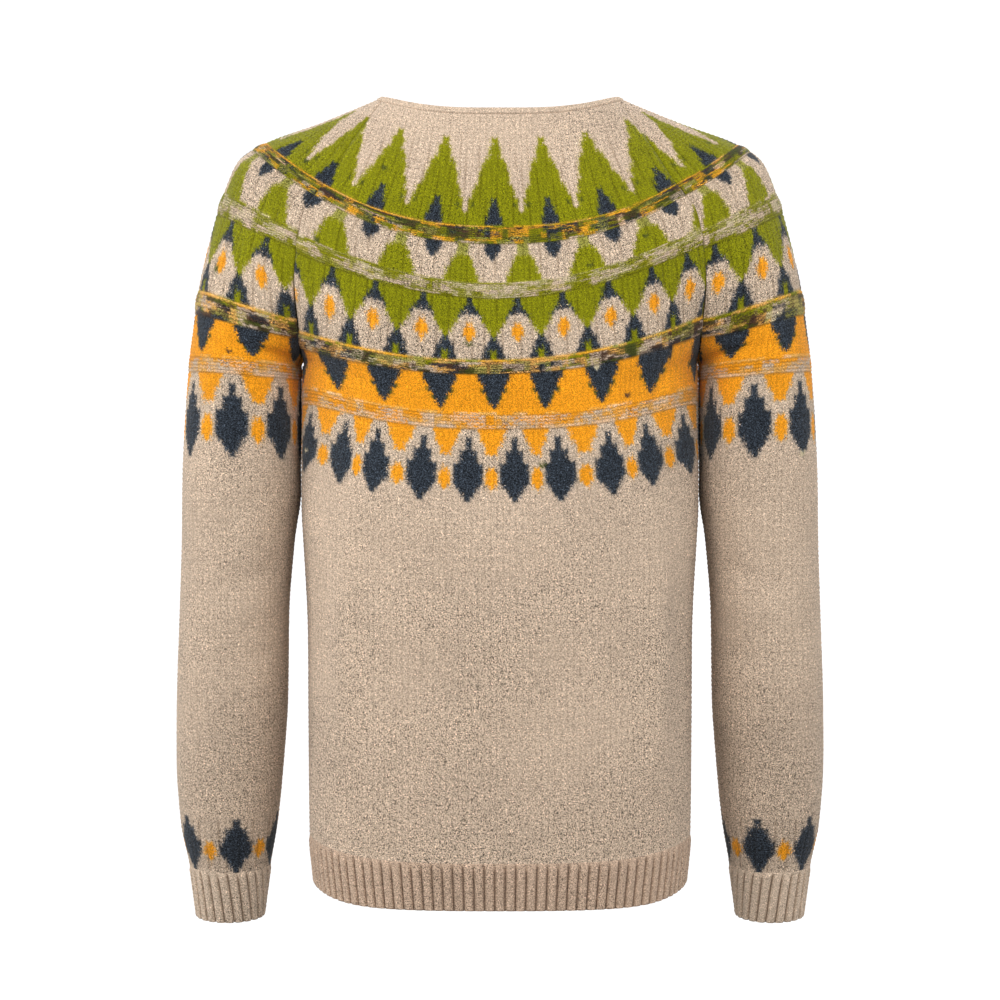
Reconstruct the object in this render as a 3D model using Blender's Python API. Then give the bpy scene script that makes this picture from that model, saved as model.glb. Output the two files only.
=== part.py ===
"""Fair isle raglan cardigan, worn and filled out, front buttoned.

Metres, +Z up. The origin is the centre of the neck opening at the neck points, the front
faces -Y and the wearer's left is +X. Each panel is a wall lofted through the garment's
rings: a row of a table is one ring. Panels meet 2 * SEAM_INSET apart along the raglan
seams, the side seams and the rib seams.
"""

import math
from collections import namedtuple

import bmesh
import bpy
import numpy as np

# Driving sizes
WALL = 0.0026
SEAM_INSET = 0.0002
BAND_HALF_WIDTH = 0.0145
BAND_LAP = 0.0030
LAYER_GAP = 0.0003
NECKBAND_DEPTH = 0.0052
NECKBAND_WALL = 0.0030
NECKBAND_ROLL = 0.0008
RIB_PITCH = 0.0080
RIB_HEIGHT = 0.0011
BUTTON_COUNT = 7
BUTTON_RADIUS = 0.0082
BUTTON_THICKNESS = 0.0034
BUTTON_TOP = -0.080
BUTTON_BOTTOM = -0.622

# How finely the walls are cut
BACK_COLUMNS = 24
FRONT_COLUMNS = 12
SLEEVE_COLUMNS = 20
YOKE_ROWS = ((0.102, 4), (0.156, 4), (0.242, 6))
BODY_ROWS = 8
SLEEVE_ROWS = 8
NECK_COLUMNS = 9
BAND_ROWS = 20
BUTTON_SIDES = 12
ROW_POINTS = 241
QUARTER = math.pi / 2
SLEEVE_RISE_POWER = 1.2
CREASE_ANGLE = math.radians(50)

# Rings of the round yoke. A ring is a superellipse in plan, of half width x and depths y at
# the back and front, and rises from its middle height to its side height as a power of the
# sine of the angle. The raglan seams cut it at seam_back and seam_front.
YokeRing = namedtuple(
    "YokeRing",
    "v half_width side_z back_y back_z front_y front_z plan_power rise_power seam_back seam_front",
)
YOKE = (
    YokeRing(0.000, 0.0940, 0.0000, 0.0620, -0.0155, 0.0700, -0.0660, 2.00, 2.80, 0.0920, 0.0885),
    YokeRing(0.050, 0.1420, -0.0205, 0.0780, -0.0640, 0.0860, -0.1030, 2.10, 2.40, 0.1155, 0.1130),
    YokeRing(0.102, 0.1900, -0.0385, 0.0905, -0.1157, 0.0980, -0.1420, 2.20, 2.20, 0.1400, 0.1370),
    YokeRing(0.128, 0.2080, -0.0505, 0.0980, -0.1410, 0.1060, -0.1670, 2.25, 1.90, 0.1520, 0.1495),
    YokeRing(0.156, 0.2220, -0.0820, 0.1050, -0.1653, 0.1120, -0.1910, 2.30, 1.65, 0.1575, 0.1560),
)

# Rings that the armpit pinches: the body's arc ends at the seam, and the sleeve's own arc,
# centred on sleeve_x, goes round from there to outer_x.
ArmRing = namedtuple(
    "ArmRing",
    "v half_width back_y back_z front_y front_z plan_power rise_power seam_x seam_back_z seam_front_z"
    " sleeve_x outer_x outer_z",
)
ARMHOLE = (
    ArmRing(0.186, 0.2050, 0.1100, -0.1935, 0.1160, -0.2170, 2.35, 1.7, 0.1602, -0.1535, -0.1575,
            0.1500, 0.2325, -0.1200),
    ArmRing(0.214, 0.1750, 0.1125, -0.2215, 0.1185, -0.2430, 2.40, 1.8, 0.1578, -0.1890, -0.1930,
            0.1880, 0.2408, -0.1580),
    ArmRing(0.228, 0.1620, 0.1130, -0.2340, 0.1188, -0.2548, 2.40, 1.9, 0.1575, -0.2050, -0.2080,
            0.1982, 0.2440, -0.1830),
)

# Rings of the body below the underarm
BodyRing = namedtuple(
    "BodyRing", "v half_width side_z back_y back_z front_y front_z plan_power rise_power"
)
BODY = (
    BodyRing(0.242, 0.1578, -0.215, 0.1135, -0.2465, 0.1190, -0.2665, 2.35, 2.0),
    BodyRing(0.287, 0.1578, -0.260, 0.1150, -0.2905, 0.1205, -0.3060, 2.40, 2.0),
    BodyRing(0.352, 0.1572, -0.330, 0.1155, -0.3530, 0.1190, -0.3640, 2.45, 2.2),
    BodyRing(0.447, 0.1530, -0.430, 0.1125, -0.4465, 0.1155, -0.4540, 2.50, 2.6),
    BodyRing(0.522, 0.1525, -0.510, 0.1120, -0.5240, 0.1145, -0.5300, 2.50, 3.0),
    BodyRing(0.5975, 0.1515, -0.587, 0.1120, -0.6000, 0.1135, -0.6040, 2.50, 3.5),
    BodyRing(0.635, 0.1482, -0.624, 0.1105, -0.6365, 0.1120, -0.6405, 2.50, 6.0),
)
HEM_V = 0.5975

# Rings of the sleeve tube below the underarm. slope is how far the ring drops towards the
# back for each metre of y, as the forearm leans forward.
SleeveRing = namedtuple("SleeveRing", "v z inner_x outer_x y half_depth rise slope plan_power")
SLEEVE = (
    SleeveRing(0.242, -0.2150, 0.1590, 0.2470, 0.000, 0.0640, 0.010, 0.00, 2.3),
    SleeveRing(0.292, -0.2600, 0.1590, 0.2508, 0.000, 0.0600, 0.006, 0.00, 2.4),
    SleeveRing(0.342, -0.3100, 0.1602, 0.2535, -0.002, 0.0570, 0.002, 0.00, 2.4),
    SleeveRing(0.383, -0.3504, 0.1644, 0.2543, -0.005, 0.0550, 0.000, 0.04, 2.3),
    SleeveRing(0.444, -0.4108, 0.1694, 0.2567, -0.010, 0.0520, 0.000, 0.08, 2.2),
    SleeveRing(0.518, -0.4835, 0.1710, 0.2598, -0.018, 0.0500, 0.000, 0.11, 2.2),
    SleeveRing(0.568, -0.5325, 0.1747, 0.2608, -0.025, 0.0460, 0.000, 0.12, 2.1),
    SleeveRing(0.618, -0.5818, 0.1800, 0.2582, -0.033, 0.0405, 0.000, 0.12, 2.1),
    SleeveRing(0.655, -0.6170, 0.1862, 0.2520, -0.040, 0.0345, 0.000, 0.12, 2.0),
    SleeveRing(0.699, -0.6590, 0.1922, 0.2468, -0.047, 0.0300, 0.000, 0.12, 2.0),
)
CUFF_V = 0.655

# Soft folds of the body: a trough or ridge down the cloth, side by side on both halves.
# across is the share of the way from the middle to the side seam.
Fold = namedtuple("Fold", "across half_width top_v bottom_v height")
BACK_FOLDS = (
    Fold(0.80, 0.09, 0.235, 0.420, 0.0030),
    Fold(0.66, 0.08, 0.250, 0.360, -0.0018),
)
FRONT_FOLDS = (
    Fold(0.78, 0.10, 0.240, 0.400, 0.0028),
    Fold(0.62, 0.09, 0.270, 0.380, -0.0018),
)

# The photo's yarn colours
OATMEAL = (0.58, 0.45, 0.34)
OATMEAL_RIB = (0.50, 0.38, 0.28)
HORN = (0.16, 0.09, 0.05)


def clear_scene():
    for item in list(bpy.data.objects):
        bpy.data.objects.remove(item, do_unlink=True)


def cloth_material(name, colour, roughness=0.95):
    material = bpy.data.materials.new(name)
    material.use_nodes = True
    shader = material.node_tree.nodes["Principled BSDF"]
    shader.inputs["Base Color"].default_value = (*colour, 1.0)
    shader.inputs["Roughness"].default_value = roughness
    shader.inputs["Metallic"].default_value = 0.0
    return material


def power(value, exponent):
    """Keeps the sign of value, as a superellipse needs."""
    return np.sign(value) * np.abs(value) ** exponent


def angle_at(x, half_width, plan_power):
    """The ring angle, 0 at the middle and 90 degrees at the side, whose half width is x."""
    return math.asin((x / half_width) ** (plan_power / 2))


def depth_at(x, half_width, depth, plan_power):
    return depth * (1 - (x / half_width) ** plan_power) ** (1 / plan_power)


def even(points):
    """Spaces the points of a row evenly along it."""
    steps = np.linalg.norm(np.diff(points, axis=0), axis=1)
    along = np.concatenate([[0.0], np.cumsum(steps)])
    wanted = np.linspace(0.0, along[-1], ROW_POINTS)
    return np.stack([np.interp(wanted, along, points[:, i]) for i in range(3)], axis=1)


def ring_points(angles, half_width, depth, middle_z, side_z, plan_power, rise_power):
    """Points of a ring by their angles from the middle of the back, or of the front."""
    x = half_width * power(np.sin(angles), 2 / plan_power)
    y = depth * power(np.cos(angles), 2 / plan_power)
    z = middle_z + (side_z - middle_z) * np.abs(np.sin(angles)) ** rise_power
    return np.stack([x, y, z], axis=1)


def yoke_half(ring, side):
    """The depth, middle height and seam of a yoke ring's back (+1) or front (-1) half."""
    if side > 0:
        return ring.back_y, ring.back_z, ring.seam_back
    return ring.front_y, ring.front_z, ring.seam_front


def arm_half(ring, side):
    if side > 0:
        return ring.back_y, ring.back_z, ring.seam_back_z
    return ring.front_y, ring.front_z, ring.seam_front_z


def panel_rows(side):
    """Rows of the back (+1) or front (-1), from the middle to the seam or side, as (v, points)."""
    rows = []
    for ring in YOKE:
        depth, middle_z, seam_x = yoke_half(ring, side)
        last = angle_at(seam_x, ring.half_width, ring.plan_power)
        angles = np.linspace(0.0, last, ROW_POINTS)
        points = ring_points(
            angles, ring.half_width, side * depth, middle_z, ring.side_z, ring.plan_power, ring.rise_power
        )
        rows.append((ring.v, even(points)))
    for ring in ARMHOLE:
        depth, middle_z, seam_z = arm_half(ring, side)
        last = angle_at(ring.seam_x, ring.half_width, ring.plan_power)
        rise = (seam_z - middle_z) / math.sin(last) ** ring.rise_power
        angles = np.linspace(0.0, last, ROW_POINTS)
        points = ring_points(
            angles, ring.half_width, side * depth, middle_z, middle_z + rise, ring.plan_power, ring.rise_power
        )
        rows.append((ring.v, even(points)))
    for ring in BODY:
        depth, middle_z = (ring.back_y, ring.back_z) if side > 0 else (ring.front_y, ring.front_z)
        angles = np.linspace(0.0, QUARTER, ROW_POINTS)
        points = ring_points(
            angles, ring.half_width, side * depth, middle_z, ring.side_z, ring.plan_power, ring.rise_power
        )
        rows.append((ring.v, even(points)))
    return rows


def sleeve_rows():
    """Rows of the left sleeve, from the back raglan seam round the outside to the front one."""
    rows = []
    for ring in YOKE:
        back = angle_at(ring.seam_back, ring.half_width, ring.plan_power)
        front = angle_at(ring.seam_front, ring.half_width, ring.plan_power)
        halves = []
        for side, first, last in ((1, back, QUARTER), (-1, QUARTER, front)):
            depth, middle_z, _ = yoke_half(ring, side)
            angles = np.linspace(first, last, ROW_POINTS)
            halves.append(
                ring_points(
                    angles, ring.half_width, side * depth, middle_z, ring.side_z, ring.plan_power,
                    ring.rise_power,
                )
            )
        rows.append((ring.v, even(np.concatenate([halves[0], halves[1][1:]]))))
    for ring in ARMHOLE:
        reach = ring.outer_x - ring.sleeve_x
        halves = []
        for side in (1, -1):
            depth, _, seam_z = arm_half(ring, side)
            seam_y = depth_at(ring.seam_x, ring.half_width, depth, ring.plan_power)
            share = (ring.seam_x - ring.sleeve_x) / reach
            half_depth = seam_y / (1 - abs(share) ** ring.plan_power) ** (1 / ring.plan_power)
            start = math.asin(power(share, ring.plan_power / 2))
            angles = np.linspace(start, QUARTER, ROW_POINTS)
            x = ring.sleeve_x + reach * power(np.sin(angles), 2 / ring.plan_power)
            y = side * half_depth * power(np.cos(angles), 2 / ring.plan_power)
            share_out = (x - ring.seam_x) / (ring.outer_x - ring.seam_x)
            z = seam_z + (ring.outer_z - seam_z) * np.clip(share_out, 0, 1) ** SLEEVE_RISE_POWER
            halves.append(np.stack([x, y, z], axis=1))
        rows.append((ring.v, even(np.concatenate([halves[0], halves[1][::-1][1:]]))))
    for ring in SLEEVE:
        angles = np.linspace(-math.pi, math.pi, 2 * ROW_POINTS)
        middle = (ring.inner_x + ring.outer_x) / 2
        x = middle + (ring.outer_x - ring.inner_x) / 2 * power(np.cos(angles), 2 / ring.plan_power)
        y = ring.y - ring.half_depth * power(np.sin(angles), 2 / ring.plan_power)
        share_out = (x - ring.inner_x) / (ring.outer_x - ring.inner_x)
        z = ring.z + ring.rise * share_out - ring.slope * (y - ring.y)
        rows.append((ring.v, even(np.stack([x, y, z], axis=1))))
    return rows


class Loft:
    """A smooth surface through rows: u is the share of the way along a row, v says which row.
    The curves from row to row never swing past a row's own value."""

    def __init__(self, rows, folds=()):
        self.v = np.array([row[0] for row in rows])
        self.points = np.array([row[1] for row in rows])
        self.folds = folds
        steps = np.diff(self.v)[:, None, None]
        slopes = np.diff(self.points, axis=0) / steps
        before, after = slopes[:-1], slopes[1:]
        same_way = before * after > 0
        near = steps[:-1] + 2 * steps[1:]
        far = 2 * steps[:-1] + steps[1:]
        mean = near / np.where(same_way, before, 1.0) + far / np.where(same_way, after, 1.0)
        inner = np.where(same_way, (near + far) / np.where(same_way, mean, 1.0), 0.0)
        self.tangents = np.concatenate([slopes[:1], inner, slopes[-1:]])

    def base(self, u, v):
        u, v = np.broadcast_arrays(np.clip(u, 0.0, 1.0), v)
        place = u * (ROW_POINTS - 1)
        left = np.clip(place.astype(int), 0, ROW_POINTS - 2)
        share = (place - left)[..., None]
        row = np.clip(np.searchsorted(self.v, v, side="right") - 1, 0, len(self.v) - 2)
        step = (self.v[row + 1] - self.v[row])[..., None]
        t = (v - self.v[row])[..., None] / step

        def across(table, which):
            return table[which, left] * (1 - share) + table[which, left + 1] * share

        return (
            across(self.points, row) * (2 * t**3 - 3 * t**2 + 1)
            + across(self.tangents, row) * step * (t**3 - 2 * t**2 + t)
            + across(self.points, row + 1) * (3 * t**2 - 2 * t**3)
            + across(self.tangents, row + 1) * step * (t**3 - t**2)
        )

    def normal(self, u, v, out):
        """Unit normals whose side is the one that out, +1 or -1, picks."""
        du = 0.012
        dv = 0.002
        low_v = np.clip(v - dv, self.v[0], self.v[-1])
        high_v = np.clip(v + dv, self.v[0], self.v[-1])
        along = self.base(u + du, v) - self.base(u - du, v)
        down = self.base(u, high_v) - self.base(u, low_v)
        normal = np.cross(along, down) * out
        return normal / np.linalg.norm(normal, axis=-1, keepdims=True)

    def fold_height(self, u, v):
        height = np.zeros(np.broadcast(u, v).shape)
        for fold in self.folds:
            across = np.exp(-(((u - fold.across) / fold.half_width) ** 2))
            along = np.clip((v - fold.top_v) / (fold.bottom_v - fold.top_v), 0.0, 1.0)
            height = height + fold.height * across * np.sin(math.pi * along) ** 2
        return height


BACK = Loft(panel_rows(1), BACK_FOLDS)
FRONT = Loft(panel_rows(-1), FRONT_FOLDS)
ARM = Loft(sleeve_rows())
BACK_OUT = 1
FRONT_OUT = -1
SLEEVE_OUT = 1


def surface(loft, u, v, out, lift=0.0):
    """Points of a loft with its folds, moved out by lift."""
    normal = loft.normal(u, v, out)
    return loft.base(u, v) + normal * (loft.fold_height(u, v) + lift)[..., None]


def wall(name, outer, inner, material, closed_from=None, parent=None):
    """A closed wall between two grids of points, rows by columns. Rows from closed_from on
    are rings, whose last column is the first one."""
    rows, columns = outer.shape[:2]
    closed_from = rows if closed_from is None else closed_from
    numbers = np.full((2, rows, columns), -1)
    points = []
    for layer, grid in enumerate((outer, inner)):
        for row in range(rows):
            for column in range(columns):
                if row >= closed_from and column == columns - 1:
                    numbers[layer, row, column] = numbers[layer, row, 0]
                    continue
                numbers[layer, row, column] = len(points)
                points.append(grid[row, column])
    skin, back = numbers
    faces = []
    for row in range(rows - 1):
        for column in range(columns - 1):
            corners = ((row, column), (row, column + 1), (row + 1, column + 1), (row + 1, column))
            faces.append([skin[corner] for corner in corners])
            faces.append([back[corner] for corner in reversed(corners)])
    for column in range(columns - 1):
        for row, step in ((0, 1), (rows - 1, -1)):
            a, b = (row, column), (row, column + 1)
            rim = [skin[b], skin[a], back[a], back[b]]
            faces.append(rim if step > 0 else rim[::-1])
    for row in range(min(closed_from, rows - 1)):
        for column, step in ((0, 1), (columns - 1, -1)):
            a, b = (row, column), (row + 1, column)
            rim = [skin[a], skin[b], back[b], back[a]]
            faces.append(rim if step > 0 else rim[::-1])
    mesh = bpy.data.meshes.new(name)
    mesh.from_pydata([tuple(point) for point in points], [], [[int(i) for i in face] for face in faces])
    shape = bmesh.new()
    shape.from_mesh(mesh)
    bmesh.ops.recalc_face_normals(shape, faces=shape.faces)
    bmesh.ops.triangulate(shape, faces=shape.faces)
    shape.to_mesh(mesh)
    shape.free()
    mesh.materials.append(material)
    mesh.shade_smooth()
    mesh.set_sharp_from_angle(angle=CREASE_ANGLE)
    item = bpy.data.objects.new(name, mesh)
    bpy.context.collection.objects.link(item)
    item.parent = parent
    return item


def mirrored(grid):
    """The same grid on the other half of the garment."""
    flipped = grid.copy()
    flipped[..., 0] *= -1
    return flipped


def row_length(loft, v, first=0.0, last=1.0):
    points = loft.base(np.linspace(first, last, ROW_POINTS), v)
    return float(np.linalg.norm(np.diff(points, axis=0), axis=1).sum())


def inset_shares(loft, rows_v, columns, first_gap, last_gap):
    """Shares u of a grid's columns for each row, short of the row's ends by the gaps."""
    shares = np.empty((len(rows_v), columns + 1))
    for i, v in enumerate(rows_v):
        length = row_length(loft, v)
        shares[i] = np.linspace(first_gap / length, 1 - last_gap / length, columns + 1)
    return shares


def layers(loft, u, v, out, lift=0.0, thickness=WALL, relief=0.0):
    """The outer and inner points of a wall whose face is lifted off the loft."""
    outer = surface(loft, u, v, out, lift + relief)
    inner = surface(loft, u, v, out, lift - thickness)
    return outer, inner


def yoke_levels():
    """Row levels from the neckband to the underarm, closer where the shoulder and armhole turn."""
    levels = [NECKBAND_DEPTH + LAYER_GAP]
    for last_v, rows in YOKE_ROWS:
        levels.extend(np.linspace(levels[-1], last_v, rows + 1)[1:])
    return np.array(levels)


def panel_levels():
    body = np.linspace(BODY[0].v, HEM_V - SEAM_INSET, BODY_ROWS + 1)
    return np.concatenate([yoke_levels(), body[1:]])


def back_panel(parent, material):
    levels = panel_levels()
    half = BACK_COLUMNS // 2
    shares = inset_shares(BACK, levels, half, 0.0, SEAM_INSET)
    outer, inner = layers(BACK, shares, levels[:, None], BACK_OUT)
    outer = np.concatenate([mirrored(outer[:, :0:-1]), outer], axis=1)
    inner = np.concatenate([mirrored(inner[:, :0:-1]), inner], axis=1)
    return wall("back", outer, inner, material, parent=parent)


def front_panels(parent, material):
    levels = panel_levels()
    shares = inset_shares(FRONT, levels, FRONT_COLUMNS, BAND_HALF_WIDTH + LAYER_GAP, SEAM_INSET)
    outer, inner = layers(FRONT, shares, levels[:, None], FRONT_OUT)
    wall("front_left", outer, inner, material, parent=parent)
    wall("front_right", mirrored(outer), mirrored(inner), material, parent=parent)


def sleeves(parent, material):
    """Open rows down to the underarm, closed rings below it."""
    yoke = yoke_levels()
    tube = np.linspace(yoke[-1], CUFF_V - SEAM_INSET, SLEEVE_ROWS + 1)
    levels = np.concatenate([yoke, tube[1:]])
    closed_from = len(yoke) - 1
    shares = inset_shares(ARM, levels, SLEEVE_COLUMNS, SEAM_INSET, SEAM_INSET)
    shares[closed_from:] = np.linspace(0.0, 1.0, SLEEVE_COLUMNS + 1)
    outer, inner = layers(ARM, shares, levels[:, None], SLEEVE_OUT)
    wall("sleeve_left", outer, inner, material, closed_from, parent)
    wall("sleeve_right", mirrored(outer), mirrored(inner), material, closed_from, parent)


def rib_columns(length):
    """Shares and reliefs of a rib's columns: each wale has two raised edges and a groove."""
    wales = max(1, round(length / RIB_PITCH))
    shares = []
    relief = []
    for wale in range(wales):
        for place, height in ((0.0, 0.0), (0.28, RIB_HEIGHT), (0.72, RIB_HEIGHT)):
            shares.append((wale + place) / wales)
            relief.append(height)
    return np.array(shares + [1.0]), np.array(relief + [0.0])


def hem_ribs(parent, material):
    levels = np.array([HEM_V + SEAM_INSET, BODY[-1].v])
    length = row_length(BACK, HEM_V)
    places, relief = rib_columns(2 * length)
    across = 2 * places - 1
    u = np.abs(across) * (1 - SEAM_INSET / length)
    outer, inner = layers(BACK, u[None, :], levels[:, None], BACK_OUT, relief=relief[None, :])
    for grid in (outer, inner):
        grid[..., 0] *= np.where(across < 0, -1.0, 1.0)
    wall("hem_rib_back", outer, inner, material, parent=parent)

    first = (BAND_HALF_WIDTH + LAYER_GAP) / length
    shares, relief = rib_columns(length * (1 - first))
    u = first + (1 - SEAM_INSET / length - first) * shares
    outer, inner = layers(FRONT, u[None, :], levels[:, None], FRONT_OUT, relief=relief[None, :])
    wall("hem_rib_front_left", outer, inner, material, parent=parent)
    wall("hem_rib_front_right", mirrored(outer), mirrored(inner), material, parent=parent)


def cuffs(parent, material):
    levels = np.array([CUFF_V + SEAM_INSET, SLEEVE[-1].v])
    shares, relief = rib_columns(row_length(ARM, CUFF_V))
    outer, inner = layers(ARM, shares[None, :], levels[:, None], SLEEVE_OUT, relief=relief[None, :])
    wall("cuff_left", outer, inner, material, 0, parent)
    wall("cuff_right", mirrored(outer), mirrored(inner), material, 0, parent)


def neckband(parent, material):
    """A rolled edging from front to front round the back of the neck."""
    levels = np.linspace(0.0, NECKBAND_DEPTH, 4)
    roll = NECKBAND_ROLL * np.array([0.0, 1.0, 1.0, 0.0])[:, None]
    front_gap = (BAND_HALF_WIDTH + LAYER_GAP) / row_length(FRONT, 0.0)
    front_u = np.linspace(front_gap, 1.0, NECK_COLUMNS)
    arm_u = np.linspace(0.0, 1.0, NECK_COLUMNS // 2)
    back_u = np.linspace(1.0, 0.0, NECK_COLUMNS)
    parts = []
    for loft, shares, out in (
        (FRONT, front_u, FRONT_OUT),
        (ARM, arm_u[::-1], SLEEVE_OUT),
        (BACK, back_u, BACK_OUT),
    ):
        u = np.broadcast_to(shares[None, :], (len(levels), len(shares)))
        parts.append(layers(loft, u, levels[:, None], out, thickness=NECKBAND_WALL, relief=roll))
    outer, inner = (
        np.concatenate([parts[0][i], parts[1][i][:, 1:], parts[2][i][:, 1:]], axis=1) for i in (0, 1)
    )
    outer = np.concatenate([outer, mirrored(outer[:, :-1][:, ::-1])], axis=1)
    inner = np.concatenate([inner, mirrored(inner[:, :-1][:, ::-1])], axis=1)
    return wall("neckband", outer, inner, material, parent=parent)


def band_grid(first_x, last_x, levels, lift):
    """A front band's outer and inner points between two distances from the middle."""
    columns = np.linspace(first_x, last_x, 5)
    lengths = np.array([row_length(FRONT, v) for v in levels])
    shares = np.abs(columns)[None, :] / lengths[:, None]
    side = np.where(columns < 0, -1.0, 1.0)
    outer, inner = layers(FRONT, shares, levels[:, None], FRONT_OUT, lift)
    for grid in (outer, inner):
        grid[..., 0] *= side
    return outer, inner


def button_bands(parent, material):
    """The under band fills the space between the fronts. The over band lies on it and laps
    onto the wearer's right front."""
    levels = np.linspace(0.0, BODY[-1].v, BAND_ROWS + 1)
    outer, inner = band_grid(-BAND_HALF_WIDTH, BAND_HALF_WIDTH, levels, 0.0)
    wall("button_band_left", outer, inner, material, parent=parent)
    lift = WALL + RIB_HEIGHT + LAYER_GAP
    outer, inner = band_grid(-BAND_HALF_WIDTH - BAND_LAP, BAND_HALF_WIDTH, levels, lift)
    wall("button_band_right", outer, inner, material, parent=parent)
    return lift


def button(name, place, normal, material, parent):
    """A turned button with a raised rim and a dished face, its back on the band."""
    # Shares of the radius and of the thickness, from the middle of the back round to the face
    profile = (
        (0.0, 0.0),
        (0.80, 0.0),
        (1.0, 0.35),
        (0.98, 0.80),
        (0.86, 1.0),
        (0.72, 0.78),
        (0.0, 0.70),
    )
    shape = bmesh.new()
    points = [
        shape.verts.new((BUTTON_RADIUS * radius, 0.0, BUTTON_THICKNESS * height))
        for radius, height in profile
    ]
    edges = [shape.edges.new(pair) for pair in zip(points[:-1], points[1:])]
    bmesh.ops.spin(
        shape, geom=points + edges, cent=(0, 0, 0), axis=(0, 0, 1), angle=2 * math.pi,
        steps=BUTTON_SIDES, use_merge=True,
    )
    bmesh.ops.remove_doubles(shape, verts=shape.verts, dist=0.00005)
    bmesh.ops.recalc_face_normals(shape, faces=shape.faces)
    mesh = bpy.data.meshes.new(name)
    shape.to_mesh(mesh)
    shape.free()
    mesh.materials.append(material)
    mesh.shade_smooth()
    mesh.set_sharp_from_angle(angle=CREASE_ANGLE)
    item = bpy.data.objects.new(name, mesh)
    bpy.context.collection.objects.link(item)
    item.location = place
    item.rotation_euler = (math.atan2(-normal[1], normal[2]), 0.0, 0.0)
    item.parent = parent
    return item


def buttons(parent, material, band_lift):
    levels = np.linspace(0.0, BODY[-1].v, 400)
    middle = FRONT.base(np.zeros(len(levels)), levels)
    for number, height in enumerate(np.linspace(BUTTON_TOP, BUTTON_BOTTOM, BUTTON_COUNT), start=1):
        v = float(np.interp(-height, -middle[:, 2], levels))
        normal = FRONT.normal(np.array([0.0]), np.array([v]), FRONT_OUT)[0]
        place = FRONT.base(np.array([0.0]), np.array([v]))[0] + normal * (band_lift + LAYER_GAP)
        button(f"button_{number}", tuple(place), tuple(normal), material, parent)


def main():
    clear_scene()
    garment = bpy.data.objects.new("cardigan", None)
    bpy.context.collection.objects.link(garment)
    knit = cloth_material("oatmeal_knit", OATMEAL)
    rib = cloth_material("oatmeal_rib", OATMEAL_RIB)
    horn = cloth_material("horn", HORN, 0.35)
    back_panel(garment, knit)
    front_panels(garment, knit)
    sleeves(garment, knit)
    hem_ribs(garment, rib)
    cuffs(garment, rib)
    neckband(garment, rib)
    band_lift = button_bands(garment, rib)
    buttons(garment, horn, band_lift)


main()
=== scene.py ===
"""Looks of the fair isle cardigan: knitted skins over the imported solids, buttons and studio.

Metres, +Z up, in the frame of the solids. Every cloth piece is a closed thin shell. Its outer
skin is knitted row by row: each stitch is a V of two raised legs, and the wales run from the
panel's middle until the seam cuts them off, as in raglan shaping.
"""

import math
from collections import namedtuple

import bmesh
import bpy
import numpy as np
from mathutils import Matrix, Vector


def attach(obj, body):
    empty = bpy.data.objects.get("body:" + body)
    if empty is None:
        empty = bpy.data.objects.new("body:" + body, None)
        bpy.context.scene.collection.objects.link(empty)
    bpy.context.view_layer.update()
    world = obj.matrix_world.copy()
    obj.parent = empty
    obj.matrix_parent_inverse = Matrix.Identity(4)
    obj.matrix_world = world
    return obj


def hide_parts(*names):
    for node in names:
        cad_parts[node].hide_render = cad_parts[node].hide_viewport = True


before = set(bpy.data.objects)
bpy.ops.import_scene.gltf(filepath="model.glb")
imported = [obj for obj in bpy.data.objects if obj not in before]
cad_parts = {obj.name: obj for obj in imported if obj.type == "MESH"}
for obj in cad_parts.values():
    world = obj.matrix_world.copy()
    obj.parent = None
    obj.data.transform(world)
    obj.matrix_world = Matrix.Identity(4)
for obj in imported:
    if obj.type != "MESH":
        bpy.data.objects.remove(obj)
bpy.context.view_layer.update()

# Driving sizes of the solids
WALL = 0.0026
SEAM_INSET = 0.0002
BAND_HALF_WIDTH = 0.0145
BAND_LAP = 0.0030
LAYER_GAP = 0.0003
NECKBAND_DEPTH = 0.0052
NECKBAND_WALL = 0.0030
NECKBAND_ROLL = 0.0008
RIB_PITCH = 0.0080
RIB_HEIGHT = 0.0011
BUTTON_COUNT = 7
BUTTON_RADIUS = 0.0082
BUTTON_THICKNESS = 0.0034
BUTTON_TOP = -0.080
BUTTON_BOTTOM = -0.622
HEM_V = 0.5975
CUFF_V = 0.655
ROW_POINTS = 481
QUARTER = math.pi / 2
SLEEVE_RISE_POWER = 1.2
BACK_OUT = 1
FRONT_OUT = -1
SLEEVE_OUT = 1

# Rings of the garment, the same as those of the solids
YokeRing = namedtuple(
    "YokeRing",
    "v half_width side_z back_y back_z front_y front_z plan_power rise_power seam_back seam_front",
)
YOKE = (
    YokeRing(0.000, 0.0940, 0.0000, 0.0620, -0.0155, 0.0700, -0.0660, 2.00, 2.80, 0.0920, 0.0885),
    YokeRing(0.050, 0.1420, -0.0205, 0.0780, -0.0640, 0.0860, -0.1030, 2.10, 2.40, 0.1155, 0.1130),
    YokeRing(0.102, 0.1900, -0.0385, 0.0905, -0.1157, 0.0980, -0.1420, 2.20, 2.20, 0.1400, 0.1370),
    YokeRing(0.128, 0.2080, -0.0505, 0.0980, -0.1410, 0.1060, -0.1670, 2.25, 1.90, 0.1520, 0.1495),
    YokeRing(0.156, 0.2220, -0.0820, 0.1050, -0.1653, 0.1120, -0.1910, 2.30, 1.65, 0.1575, 0.1560),
)
ArmRing = namedtuple(
    "ArmRing",
    "v half_width back_y back_z front_y front_z plan_power rise_power seam_x seam_back_z seam_front_z"
    " sleeve_x outer_x outer_z",
)
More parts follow.
